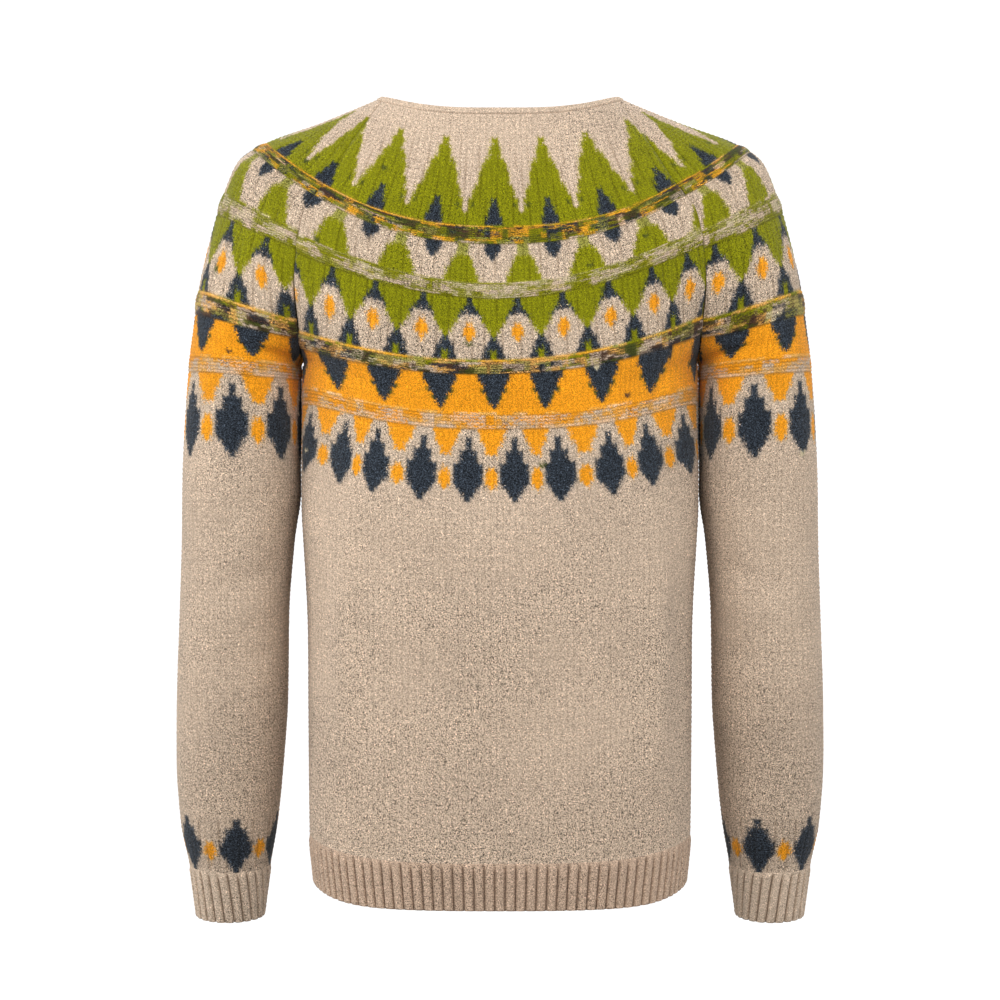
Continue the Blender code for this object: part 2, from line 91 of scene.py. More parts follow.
ARMHOLE = (
    ArmRing(0.186, 0.2050, 0.1100, -0.1935, 0.1160, -0.2170, 2.35, 1.7, 0.1602, -0.1535, -0.1575,
            0.1500, 0.2325, -0.1200),
    ArmRing(0.214, 0.1750, 0.1125, -0.2215, 0.1185, -0.2430, 2.40, 1.8, 0.1578, -0.1890, -0.1930,
            0.1880, 0.2408, -0.1580),
    ArmRing(0.228, 0.1620, 0.1130, -0.2340, 0.1188, -0.2548, 2.40, 1.9, 0.1575, -0.2050, -0.2080,
            0.1982, 0.2440, -0.1830),
)
BodyRing = namedtuple(
    "BodyRing", "v half_width side_z back_y back_z front_y front_z plan_power rise_power"
)
BODY = (
    BodyRing(0.242, 0.1578, -0.215, 0.1135, -0.2465, 0.1190, -0.2665, 2.35, 2.0),
    BodyRing(0.287, 0.1578, -0.260, 0.1150, -0.2905, 0.1205, -0.3060, 2.40, 2.0),
    BodyRing(0.352, 0.1572, -0.330, 0.1155, -0.3530, 0.1190, -0.3640, 2.45, 2.2),
    BodyRing(0.447, 0.1530, -0.430, 0.1125, -0.4465, 0.1155, -0.4540, 2.50, 2.6),
    BodyRing(0.522, 0.1525, -0.510, 0.1120, -0.5240, 0.1145, -0.5300, 2.50, 3.0),
    BodyRing(0.5975, 0.1515, -0.587, 0.1120, -0.6000, 0.1135, -0.6040, 2.50, 3.5),
    BodyRing(0.635, 0.1482, -0.624, 0.1105, -0.6365, 0.1120, -0.6405, 2.50, 6.0),
)
SleeveRing = namedtuple("SleeveRing", "v z inner_x outer_x y half_depth rise slope plan_power")
SLEEVE = (
    SleeveRing(0.242, -0.2150, 0.1590, 0.2470, 0.000, 0.0640, 0.010, 0.00, 2.3),
    SleeveRing(0.292, -0.2600, 0.1590, 0.2508, 0.000, 0.0600, 0.006, 0.00, 2.4),
    SleeveRing(0.342, -0.3100, 0.1602, 0.2535, -0.002, 0.0570, 0.002, 0.00, 2.4),
    SleeveRing(0.383, -0.3504, 0.1644, 0.2543, -0.005, 0.0550, 0.000, 0.04, 2.3),
    SleeveRing(0.444, -0.4108, 0.1694, 0.2567, -0.010, 0.0520, 0.000, 0.08, 2.2),
    SleeveRing(0.518, -0.4835, 0.1710, 0.2598, -0.018, 0.0500, 0.000, 0.11, 2.2),
    SleeveRing(0.568, -0.5325, 0.1747, 0.2608, -0.025, 0.0460, 0.000, 0.12, 2.1),
    SleeveRing(0.618, -0.5818, 0.1800, 0.2582, -0.033, 0.0405, 0.000, 0.12, 2.1),
    SleeveRing(0.655, -0.6170, 0.1862, 0.2520, -0.040, 0.0345, 0.000, 0.12, 2.0),
    SleeveRing(0.699, -0.6590, 0.1922, 0.2468, -0.047, 0.0300, 0.000, 0.12, 2.0),
)
Fold = namedtuple("Fold", "across half_width top_v bottom_v height")
BACK_FOLDS = (
    Fold(0.80, 0.09, 0.235, 0.420, 0.0030),
    Fold(0.66, 0.08, 0.250, 0.360, -0.0018),
)
FRONT_FOLDS = (
    Fold(0.78, 0.10, 0.240, 0.400, 0.0028),
    Fold(0.62, 0.09, 0.270, 0.380, -0.0018),
)

# Yarn colours in sRGB, and how strongly each yarn is flecked
Yarn = namedtuple("Yarn", "colour melange")
YARNS = {
    "o": Yarn((206, 184, 162), 1.00),
    "g": Yarn((131, 132, 10), 0.85),
    "u": Yarn((202, 181, 159), 1.25),
    "n": Yarn((48, 55, 64), 2.60),
    "a": Yarn((240, 157, 30), 0.50),
    "p": Yarn((230, 174, 92), 0.80),
    "m": Yarn((150, 147, 68), 1.20),
    "d": Yarn((72, 78, 30), 0.60),
    "k": Yarn((240, 200, 160), 0.80),
    "e": Yarn((232, 168, 44), 0.60),
    "y": Yarn((182, 168, 92), 0.90),
    "w": Yarn((206, 192, 158), 0.90),
    "b": Yarn((78, 56, 44), 0.80),
    # r, the hem rib's yarn, is o made darker and browner: partly its own colour, partly painted shade for the
    # dimmer light at the hem
    "r": Yarn((190, 164, 142), 1.00),
}

# Charts, one line for each course from the neck down. A line runs from the motif's middle to
# the middle of the space between motifs, one letter for each leg of a stitch.
ICICLE_TIPS = """
oooooooo
oooooooo
oooooooo
oooooooo
oooooooo
oooooooo
gooooooo
gooooooo
ggoooooo
ggoooooo
ggoooooo
gggooooo
ggggoooo
""".split()
ICICLES = """
gggggooooo
ggggggoooo
ggggggoooo
ggggggoooo
gggggggooo
ggggggggoo
ggggggggoo
nggggggggo
nggggggdgo
nngggggggo
nngggggggg
nnnggggggg
nnnggggggg
""".split()
CUPS = """
nnnuuuuuumm
nnnuuuuuumm
nnuuuuuuumm
nuuuuuuuggg
uuuuuuugggg
uuuuuuugggg
uuuuuuggggg
uuuuuuggggg
uuuuugggggg
uuuuugggggg
""".split()
DAISIES = """
nggggggg
nggggggg
nngggggg
nnnggggg
uuungggg
uuuugggg
auuuuggg
aauuuugg
aauuuuug
auuuuuun
uuuuuunn
uuuuunnn
uuuuunng
uuuunnng
""".split()
PEAKS = """
nnnnnnaaaa
nnnnnnaaaa
nnnnnaaaaa
nnnnaaaaaa
nnnndaaaaa
nnnaaaaaaa
nndaaaaaaa
nnaaaaaaaa
naaaaaaaaa
aaaaaaaaaa
""".split()
DIAMONDS = """
uuuaaaaa
uuuuaaaa
nuuuaaaa
nuuuuaaa
nuuuuuaa
nnnuuuaa
nnnuuuuu
nnnuuuuu
nnnnnuuu
nnnnnuua
nnnnnuaa
nnnnnuaa
nnnnnuaa
nnnnuuua
nnnooooo
nnoooooo
nooooooo
""".split()
WRIST = """
nooooooo
nooooooo
nnnooooo
nnnooooo
nnnnoooo
nnnnnooa
nnnnnoaa
nnnnnoaa
nnnnoooa
nnnooooo
nnoooooo
nooooooo
""".split()
PLAIN = ("o",)
HEM_PLAIN = ("r",)

# Streaks of the purl ridges: letters drawn in turn by chance, by course. The first course is
# the thin line along the ridge's upper edge.
RIDGE_1 = ("epgeeg", "dbgbne", "gdmbge", "nbmdkd", "gemdnb", "bdmgoe", "dngemg", "egdmne", "odmgoo")
RIDGE_2 = ("mgmowg", "gmogmw", "owmowg", "wogmwo", "gowoym", "mowwog", "gmogmo", "ggmogg")
RIDGE_3 = ("epgmep", "opdygb", "bnopym", "nbyowp", "dnopbm", "nobdnp")
RIDGE_4 = ("apakap", "apoaka", "paopao", "akoopa", "kpokok")

# A stitch cell as rows of (place across the cell, how far down it hangs, height). Places and
# hang are shares of a cell and of a course. A groove row lies between two courses and a crest
# row in the middle of one. hollow_shade is painted shade: the yarn's colour is darkened to it in
# the deepest hollows.
Cell = namedtuple("Cell", "hollow_shade groove crest")
KNIT = Cell(
    0.87,
    groove=((0.0, -0.24, -0.00044), (0.5, 0.24, -0.00020)),
    crest=((0.0, -0.24, -0.00038), (0.25, 0.0, 0.00036), (0.5, 0.24, 0.00004), (0.75, 0.0, 0.00036)),
)
PURL = Cell(
    0.60,
    groove=((0.0, 0.12, -0.00030), (0.5, -0.12, -0.00030)),
    crest=((0.0, 0.12, 0.00000), (0.25, 0.0, 0.00030), (0.5, -0.12, 0.00000), (0.75, 0.0, 0.00030)),
)
RIB = Cell(
    0.46,
    groove=((0.0, 0.0, -0.0015), (0.10, 0.0, -0.0001), (0.26, -0.10, 0.0008), (0.5, 0.30, 0.0008),
            (0.74, -0.10, 0.0008), (0.90, 0.0, -0.0001)),
    crest=((0.0, 0.0, -0.0015), (0.10, 0.0, 0.0002), (0.26, 0.0, 0.0012), (0.5, 0.35, 0.0010),
           (0.74, 0.0, 0.0012), (0.90, 0.0, 0.0002)),
)
LINING_POINTS = ((0.0, 0.0, 0.0),)

# Where motifs have their middles, from the wearer's right to the left. In the fan of the yoke
# a place is a share of the way from the panel's middle to its edge, and below it, where the
# stitches keep their width, metres from the middle.
TREES = (-0.935, -0.573, -0.268, 0.033, 0.355, 0.682)
CUP_PLACES = (-0.890, -0.562, -0.258, 0.037, 0.325, 0.650, 0.993)
DAISY_PLACES = (-0.902, -0.718, -0.503, -0.285, -0.080, 0.138, 0.352, 0.580, 0.797)
PEAK_PLACES = (-0.1880, -0.1230, -0.0795, -0.0347, 0.0045, 0.0459, 0.0913, 0.1365, 0.1960)
DIAMOND_PLACES = (-0.1665, -0.1208, -0.0866, -0.0450, -0.0113, 0.0245, 0.0600, 0.0986, 0.1294, 0.1766)


def spaced(place, step):
    """Places a step apart, for the pieces whose motifs are spaced evenly."""
    return (place, place + step)


# A belt of knitting between two lines across a panel. A line lies at v at the panel's middle
# and at v + bend * share * share + tilt * share at a share of the way to its left edge. spread
# is how much wider a straight belt's stitches are at its foot than at its top, as a share.
Line = namedtuple("Line", "v bend tilt", defaults=(0.0,))
Belt = namedtuple("Belt", "top bottom courses fan places chart repeat cell hump spread")
YOKE_TOP = Line(NECKBAND_DEPTH + LAYER_GAP, 0.0)
RIDGE_HUMP = 0.0011
LOW_HUMP = 0.0004
PLAIN_COURSE = 0.0037
PLAIN_STITCH = 0.0049
SLEEVE_STITCH = 0.0052
BAND_STITCH = 0.0048
NECK_STITCH = 0.0046
NECK_COURSES = 6
PANEL_EDGES = (0.0500, 0.0965, 0.1110, 0.1445, 0.1585, 0.2070, 0.2185)
SLEEVE_EDGES = (0.0250, 0.0500, 0.0965, 0.1110, 0.1445, 0.1585, 0.2075, 0.2190, 0.2425, 0.2555, 0.3225)
RIDGE_4_TOP = Line(0.2510, 0.0130)
RIDGE_4_FOOT = Line(0.2640, 0.0130)
DIAMOND_FOOT = Line(0.3215, 0.0)
WRIST_TOP_V = 0.6080
# How far the second ridge sinks towards the raglan seam, and at the outer side of a sleeve
RIDGE_2_SINK = 0.0025
RIDGE_2_SLEEVE_SINK = 0.0075
RIDGE_3_SLEEVE_SINK = 0.0045
# How much lower the ridges of the back hang at their left: the second ridge, then the third
BACK_TILTS = (Line(0.0, RIDGE_2_SINK, 0.0030), Line(0.0, 0.0030, 0.0045))
FRONT_TILTS = (Line(0.0, RIDGE_2_SINK), Line(0.0, 0.0))
DIAMOND_SPREAD = 0.07
# The courses of the points' tips that a sleeve leaves out
SLEEVE_TIPS_FROM = 6
# How far apart a sleeve's motifs are: shares of half its width in the fan and at the wrist, and
# metres for the peaks and the diamonds
Steps = namedtuple("Steps", "tips tree daisy peak diamond wrist")
SLEEVE_STEPS = Steps(0.470, 0.476, 0.320, 0.0465, 0.0420, 0.364)


def plain_belt(courses, stitch, cell=KNIT, hump=0.0, spread=0.0, chart=PLAIN):
    """A belt in one yarn: all that a Belt has but its lines."""
    return courses, False, spaced(0.0, stitch), chart, 1, cell, hump, spread


def patterned_belts(places, spread):
    """The belts from the long points to the diamonds, all but their lines."""
    trees, cups, daisies, peaks, diamonds = places
    rows = (
        (True, trees, ICICLES, 10, KNIT, 0.0, 0.0),
        (True, trees, RIDGE_1, 10, PURL, RIDGE_HUMP, 0.0),
        (True, cups, CUPS, 11, KNIT, 0.0, 0.0),
        (True, cups, RIDGE_2, 11, PURL, RIDGE_HUMP, 0.0),
        (True, daisies, DAISIES, 8, KNIT, 0.0, 0.0),
        (True, daisies, RIDGE_3, 8, PURL, RIDGE_HUMP, 0.0),
        (False, peaks, PEAKS, 10, KNIT, 0.0, 0.0),
        (False, peaks, RIDGE_4, 10, PURL, LOW_HUMP, 0.0),
        (False, diamonds, DIAMONDS, 8, KNIT, 0.0, spread),
    )
    return [(len(row[2]), *row) for row in rows]


def belts_between(lines, rows):
    return [Belt(top, bottom, *row) for top, bottom, row in zip(lines[:-1], lines[1:], rows)]


def panel_belts(places, tilts):
    """Belts of the back or a front, from the neckband to the hem rib."""
    lines = [YOKE_TOP, *(Line(v, 0.0) for v in PANEL_EDGES), RIDGE_4_TOP, RIDGE_4_FOOT, DIAMOND_FOOT,
             Line(HEM_V, 0.0)]
    for number, tilt in ((4, 0), (5, 0), (6, 1), (7, 1)):
        lines[number] = tilts[tilt]._replace(v=lines[number].v)
    tips = (len(ICICLE_TIPS), True, places[0], ICICLE_TIPS, 8, KNIT, 0.0, 0.0)
    plain = plain_belt(round((HEM_V - DIAMOND_FOOT.v) / PLAIN_COURSE), PLAIN_STITCH)
    return belts_between(lines, [tips, *patterned_belts(places, DIAMOND_SPREAD), plain])


def sleeve_belts(axes):
    """Belts of a sleeve, from the neckband to the cuff, with the motifs' places of its side."""
    lines = [YOKE_TOP, *(Line(v, 0.0) for v in SLEEVE_EDGES), Line(WRIST_TOP_V, 0.0), Line(CUFF_V, 0.0)]
    for first, sink, seam_sink in (
        (3, axes.ridge_1_sink, 0.0), (5, RIDGE_2_SLEEVE_SINK, RIDGE_2_SINK), (7, RIDGE_3_SLEEVE_SINK, 0.0)
    ):
        for number in (first, first + 1):
            lines[number] = Line(lines[number].v + sink, seam_sink - sink)
    tips = ICICLE_TIPS[SLEEVE_TIPS_FROM:]
    steps = SLEEVE_STEPS
    places = (spaced(axes.tree, steps.tree), axes.cups, spaced(axes.daisy, steps.daisy),
              spaced(axes.peak, steps.peak), spaced(axes.diamond, steps.diamond))
    return belts_between(lines, [
        plain_belt(NECK_COURSES, NECK_STITCH),
        (len(tips), True, spaced(axes.tree, steps.tips), tips, 8, KNIT, 0.0, 0.0),
        *patterned_belts(places, 0.0),
        plain_belt(round((lines[-2].v - lines[-3].v) / PLAIN_COURSE), SLEEVE_STITCH),
        (len(WRIST), True, spaced(axes.wrist, steps.wrist), WRIST, 8, KNIT, 0.0, 0.0),
    ])


def one_belt(top, bottom, *row, **more):
    return belts_between((Line(top, 0.0), Line(bottom, 0.0)), [plain_belt(*row, **more)])


# The lofts of the solids

def power(value, exponent):
    """Keeps the sign of value, as a superellipse needs."""
    return np.sign(value) * np.abs(value) ** exponent


def angle_at(x, ring):
    """The ring angle, 0 at the middle and 90 degrees at the side, where the ring reaches x."""
    return math.asin((x / ring.half_width) ** (ring.plan_power / 2))


def depth_at(x, depth, ring):
    return depth * (1 - (x / ring.half_width) ** ring.plan_power) ** (1 / ring.plan_power)


def even(points):
    """Spaces the points of a row evenly along it."""
    steps = np.linalg.norm(np.diff(points, axis=0), axis=1)
    along = np.concatenate([[0.0], np.cumsum(steps)])
    wanted = np.linspace(0.0, along[-1], ROW_POINTS)
    return np.stack([np.interp(wanted, along, points[:, i]) for i in range(3)], axis=1)


def of_half(ring, side, *names):
    """Named values of a ring's back (+1) or front (-1) half. A star stands for the half."""
    return [getattr(ring, name.replace("*", "back" if side > 0 else "front")) for name in names]


def half_points(ring, depth, middle_z, side_z, first, last):
    """Points of half a ring between two angles, which count from its middle to its side."""
    angles = np.linspace(first, last, ROW_POINTS)
    x = ring.half_width * power(np.sin(angles), 2 / ring.plan_power)
    y = depth * power(np.cos(angles), 2 / ring.plan_power)
    z = middle_z + (side_z - middle_z) * np.abs(np.sin(angles)) ** ring.rise_power
    return np.stack([x, y, z], axis=1)


def panel_rows(side):
    """Rows of the back (+1) or front (-1), from the middle to the seam or side, as (v, points)."""
    halves = []
    for ring in YOKE:
        depth, middle_z, seam_x = of_half(ring, side, "*_y", "*_z", "seam_*")
        halves.append((ring, depth, middle_z, ring.side_z, angle_at(seam_x, ring)))
    for ring in ARMHOLE:
        depth, middle_z, seam_z = of_half(ring, side, "*_y", "*_z", "seam_*_z")
        last = angle_at(ring.seam_x, ring)
        side_z = middle_z + (seam_z - middle_z) / math.sin(last) ** ring.rise_power
        halves.append((ring, depth, middle_z, side_z, last))
    for ring in BODY:
        halves.append((ring, *of_half(ring, side, "*_y", "*_z"), ring.side_z, QUARTER))
    return [
        (ring.v, even(half_points(ring, side * depth, middle_z, side_z, 0.0, last)))
        for ring, depth, middle_z, side_z, last in halves
    ]


def sleeve_rows():
    """Rows of the left sleeve, from the back raglan seam round the outside to the front one."""
    rows = []
    for ring in YOKE:
        halves = []
        for side in (1, -1):
            depth, middle_z, seam_x = of_half(ring, side, "*_y", "*_z", "seam_*")
            ends = (angle_at(seam_x, ring), QUARTER)[::side]
            halves.append(half_points(ring, side * depth, middle_z, ring.side_z, *ends))
        rows.append((ring.v, even(np.concatenate([halves[0], halves[1][1:]]))))
    for ring in ARMHOLE:
        reach = ring.outer_x - ring.sleeve_x
        halves = []
        for side in (1, -1):
            depth, seam_z = of_half(ring, side, "*_y", "seam_*_z")
            seam_y = depth_at(ring.seam_x, depth, ring)
            share = (ring.seam_x - ring.sleeve_x) / reach
            half_depth = seam_y / (1 - abs(share) ** ring.plan_power) ** (1 / ring.plan_power)
            start = math.asin(power(share, ring.plan_power / 2))
            angles = np.linspace(start, QUARTER, ROW_POINTS)
            x = ring.sleeve_x + reach * power(np.sin(angles), 2 / ring.plan_power)
            y = side * half_depth * power(np.cos(angles), 2 / ring.plan_power)
            share_out = (x - ring.seam_x) / (ring.outer_x - ring.seam_x)
            z = seam_z + (ring.outer_z - seam_z) * np.clip(share_out, 0, 1) ** SLEEVE_RISE_POWER
            halves.append(np.stack([x, y, z], axis=1))
        rows.append((ring.v, even(np.concatenate([halves[0], halves[1][::-1][1:]]))))
    for ring in SLEEVE:
        angles = np.linspace(-math.pi, math.pi, 2 * ROW_POINTS)
        middle = (ring.inner_x + ring.outer_x) / 2
        x = middle + (ring.outer_x - ring.inner_x) / 2 * power(np.cos(angles), 2 / ring.plan_power)
        y = ring.y - ring.half_depth * power(np.sin(angles), 2 / ring.plan_power)
        share_out = (x - ring.inner_x) / (ring.outer_x - ring.inner_x)
        z = ring.z + ring.rise * share_out - ring.slope * (y - ring.y)
        rows.append((ring.v, even(np.stack([x, y, z], axis=1))))
    return rows


class Loft:
    """A smooth surface through rows: u is the share of the way along a row, v says which row.
    The curves from row to row never swing past a row's own value."""

    def __init__(self, rows, folds=()):
        self.v = np.array([row[0] for row in rows])
        self.points = np.array([row[1] for row in rows])
        self.folds = folds
        steps = np.diff(self.v)[:, None, None]
        slopes = np.diff(self.points, axis=0) / steps
        before, after = slopes[:-1], slopes[1:]
        same_way = before * after > 0
        near = steps[:-1] + 2 * steps[1:]
        far = 2 * steps[:-1] + steps[1:]
        mean = near / np.where(same_way, before, 1.0) + far / np.where(same_way, after, 1.0)
        inner = np.where(same_way, (near + far) / np.where(same_way, mean, 1.0), 0.0)
        self.tangents = np.concatenate([slopes[:1], inner, slopes[-1:]])
        self.levels = np.linspace(self.v[0], self.v[-1], 300)
        self.lengths = np.array([self.measure(v) for v in self.levels])

    def base(self, u, v):
        u, v = np.broadcast_arrays(np.clip(u, 0.0, 1.0), v)
        place = u * (ROW_POINTS - 1)
        left = np.clip(place.astype(int), 0, ROW_POINTS - 2)
        share = (place - left)[..., None]
        row = np.clip(np.searchsorted(self.v, v, side="right") - 1, 0, len(self.v) - 2)
        step = (self.v[row + 1] - self.v[row])[..., None]
        t = (v - self.v[row])[..., None] / step

        def across(table, which):
            return table[which, left] * (1 - share) + table[which, left + 1] * share

        return (
            across(self.points, row) * (2 * t**3 - 3 * t**2 + 1)
            + across(self.tangents, row) * step * (t**3 - 2 * t**2 + t)
            + across(self.points, row + 1) * (3 * t**2 - 2 * t**3)
            + across(self.tangents, row + 1) * step * (t**3 - t**2)
        )

    def measure(self, v):
        points = self.base(np.linspace(0.0, 1.0, ROW_POINTS), v)
        return float(np.linalg.norm(np.diff(points, axis=0), axis=1).sum())

    def length(self, v):
        return np.interp(v, self.levels, self.lengths)

    def normal(self, u, v, out):
        """Unit normals whose side is the one that out, +1 or -1, picks."""
        du = 0.012
        dv = 0.002
        low_v = np.clip(v - dv, self.v[0], self.v[-1])
        high_v = np.clip(v + dv, self.v[0], self.v[-1])
        along = self.base(u + du, v) - self.base(u - du, v)
        down = self.base(u, high_v) - self.base(u, low_v)
        normal = np.cross(along, down) * out
        return normal / np.linalg.norm(normal, axis=-1, keepdims=True)

    def fold_height(self, u, v):
        height = np.zeros(np.broadcast(u, v).shape)
        for fold in self.folds:
            across = np.exp(-(((u - fold.across) / fold.half_width) ** 2))
            along = np.clip((v - fold.top_v) / (fold.bottom_v - fold.top_v), 0.0, 1.0)
            height = height + fold.height * across * np.sin(math.pi * along) ** 2
        return height


BACK = Loft(panel_rows(1), BACK_FOLDS)
FRONT = Loft(panel_rows(-1), FRONT_FOLDS)
ARM = Loft(sleeve_rows())


def neck_rows():
    """Rows of half the neckband, from the middle of the back round to the front band."""
    shares = np.linspace(0.0, 1.0, ROW_POINTS)
    rows = []
    for v in (0.0, NECKBAND_DEPTH / 2, NECKBAND_DEPTH):
        first = (BAND_HALF_WIDTH + LAYER_GAP) / FRONT.length(v)
        front = FRONT.base(1.0 - shares * (1.0 - first), v)
        rows.append((v, even(np.concatenate([BACK.base(shares, v), ARM.base(shares, v), front]))))
    return rows


NECK = Loft(neck_rows())

# Soft creases on a panel's skin: from (first_c, first_v) to (last_c, last_v), metres
# across from the panel's middle and down from the neck. The last ones of each piece are where
# the body and the sleeve press on each other below the underarm.
Crease = namedtuple("Crease", "first_c first_v last_c last_v half_width height")
BACK_CREASES = (
    Crease(0.124, 0.290, 0.128, 0.600, 0.013, 0.0036),
    Crease(0.100, 0.300, 0.106, 0.540, 0.012, -0.0016),
    Crease(0.152, 0.280, 0.156, 0.560, 0.012, -0.0018),
    Crease(-0.130, 0.300, -0.134, 0.600, 0.013, 0.0038),
    Crease(-0.106, 0.330, -0.110, 0.520, 0.012, -0.0016),
    Crease(-0.158, 0.300, -0.160, 0.580, 0.012, -0.0018),
    Crease(0.150, 0.216, 0.112, 0.300, 0.009, -0.0018),
    Crease(-0.150, 0.214, -0.108, 0.310, 0.009, -0.0017),
    Crease(0.020, 0.380, -0.050, 0.500, 0.020, 0.0008),
    Crease(-0.040, 0.520, 0.070, 0.570, 0.016, -0.0007),
    Crease(0.160, 0.420, 0.185, 0.580, 0.014, -0.0014),
    Crease(-0.165, 0.400, -0.180, 0.570, 0.014, -0.0013),
    Crease(0.2256, 0.315, 0.2244, 0.385, 0.014, 0.0012),
    Crease(-0.2256, 0.315, -0.2244, 0.385, 0.014, 0.0012),
)
FRONT_CREASES = (
    Crease(0.148, 0.218, 0.104, 0.310, 0.010, -0.0019),
    Crease(0.120, 0.330, 0.128, 0.560, 0.015, 0.0019),
    Crease(0.070, 0.400, 0.082, 0.540, 0.014, -0.0009),
    Crease(0.045, 0.300, 0.060, 0.420, 0.016, 0.0008),
    Crease(0.170, 0.400, 0.182, 0.570, 0.014, -0.0013),
    Crease(0.2320, 0.315, 0.2276, 0.385, 0.014, 0.0012),
)
SLEEVE_CREASES = (
    Crease(-0.120, 0.240, -0.040, 0.300, 0.010, -0.0014),
    Crease(-0.150, 0.330, -0.060, 0.372, 0.010, -0.0012),
    Crease(-0.150, 0.395, -0.045, 0.425, 0.009, -0.0016),
    Crease(-0.140, 0.430, -0.040, 0.448, 0.010, 0.0013),
    Crease(-0.145, 0.470, -0.055, 0.478, 0.009, -0.0013),
    Crease(0.120, 0.395, 0.040, 0.430, 0.010, -0.0015),
    Crease(0.130, 0.440, 0.050, 0.462, 0.009, 0.0012),
    Crease(0.125, 0.300, 0.050, 0.330, 0.010, -0.0011),
    Crease(-0.050, 0.520, -0.020, 0.620, 0.012, 0.0010),
    Crease(0.060, 0.530, 0.030, 0.610, 0.012, -0.0010),
    Crease(-0.110, 0.560, -0.030, 0.600, 0.010, -0.0009),
    Crease(0.1712, 0.322, 0.1615, 0.392, 0.014, 0.0014),
    Crease(-0.1712, 0.322, -0.1615, 0.392, 0.014, 0.0014),
)


def crease_height(creases, c, v):
    height = np.zeros(c.shape)
    for crease in creases:
        start = np.array([crease.first_c, crease.first_v])
        way = np.array([crease.last_c, crease.last_v]) - start
        length = np.linalg.norm(way)
        way = way / length
        along = (c - start[0]) * way[0] + (v - start[1]) * way[1]
        across = (c - start[0]) * way[1] - (v - start[1]) * way[0]
        share = np.clip(along / length, 0.0, 1.0)
        soft = np.exp(-((across / crease.half_width) ** 2))
        height = height + crease.height * soft * np.sin(math.pi * share) ** 2
    return height


class Panel(namedtuple("Panel", "loft out creases around limits mirror lift wall",
                       defaults=((), False, (None, None), 1, 0.0, WALL))):
    """Where a cloth piece lies on its loft. c is metres across from the panel's middle. A sleeve
    goes all round: its middle is the outer side of the arm. The other pieces have two like
    halves, and limits says where a piece ends if that is not at its seams."""

    def reach(self, v):
        return self.loft.length(v) * (0.5 if self.around else 1.0)

    def ends(self, v):
        edge = self.reach(v) - SEAM_INSET
        low, high = self.limits
        return (-edge if low is None else low), (edge if high is None else high)

    def place(self, c, v, lift):
        share = c / self.reach(v)
        u = 0.5 + share / 2 if self.around else np.abs(share)
        v = np.clip(v, self.loft.v[0], self.loft.v[-1])
        height = self.lift + lift + self.loft.fold_height(u, v) + crease_height(self.creases, c, v)
        points = self.loft.base(u, v) + self.loft.normal(u, v, self.out) * height[..., None]
        if not self.around:
            points[..., 0] *= np.where(c < 0, -1.0, 1.0)
        points[..., 0] *= self.mirror
        return points


# A row's shade is the painted shade or painted highlight at each of its points
Row = namedtuple("Row", "belt course c v reach lift wale shade")
END_GAP = 0.12
SEAM_ROLL = 0.0004
SEAM_ROLL_WIDTH = 0.0024
# How deep some of the gaps between the wales of the yoke are, and how dark their painted shade is
FURROW = 0.0004
FURROW_SHADE = 0.26
FURROWS_FROM = 0.022
FURROWS_FADE = 0.030
FURROW_HALF_WIDTH = 0.02
# How fast the furrows and the rib's tops change, in radians a wale and a course
FURROW_TURN = (2.3, 0.25)
RIB_TOPS_TURN = 2.4
UNEVEN = 0.00008
LINING_STEP = 2
# Painted highlight: how much lighter the yarn's colour is on the stitches' crests
PAINTED_CREST_HIGHLIGHT = 1.07
RIB_GROWS_IN = 1.6
RIB_TOPS_VARY = 0.45
RIM_ANGLE = math.radians(80)
YARN_BLEND = 0.7
# Painted shade is warmer in the deep hollows: powers of the shade for red, green and blue
PAINTED_SHADE_WARMTH = np.array([1.0, 1.12, 1.25])


def motif_count(belt, place):
    """Motifs from the first of the belt's places, going on evenly past both ends."""
    places = np.array(belt.places)
    numbers = np.arange(len(places))
    mean = (places[-1] - places[0]) / (len(places) - 1)
    inside = np.interp(place, places, numbers)
    return inside + np.minimum(place - places[0], 0.0) / mean + np.maximum(place - places[-1], 0.0) / mean


def motif_place(belt, count):
    places = np.array(belt.places)
    numbers = np.arange(len(places))
    mean = (places[-1] - places[0]) / (len(places) - 1)
    inside = np.interp(count, numbers, places)
    return inside + np.minimum(count, 0.0) * mean + np.maximum(count - numbers[-1], 0.0) * mean


def belt_width(belt, course):
    """How much wider than its mean a straight belt is at a course."""
    return 1.0 + belt.spread * (course / belt.courses - 0.5)


def wale_at(belt, course, c, reach):
    """Places across in stitches. The stitch from 0 to 1 is the middle of the first motif."""
    place = c / reach if belt.fan else c / belt_width(belt, course)
    return motif_count(belt, place) * belt.repeat + 0.5


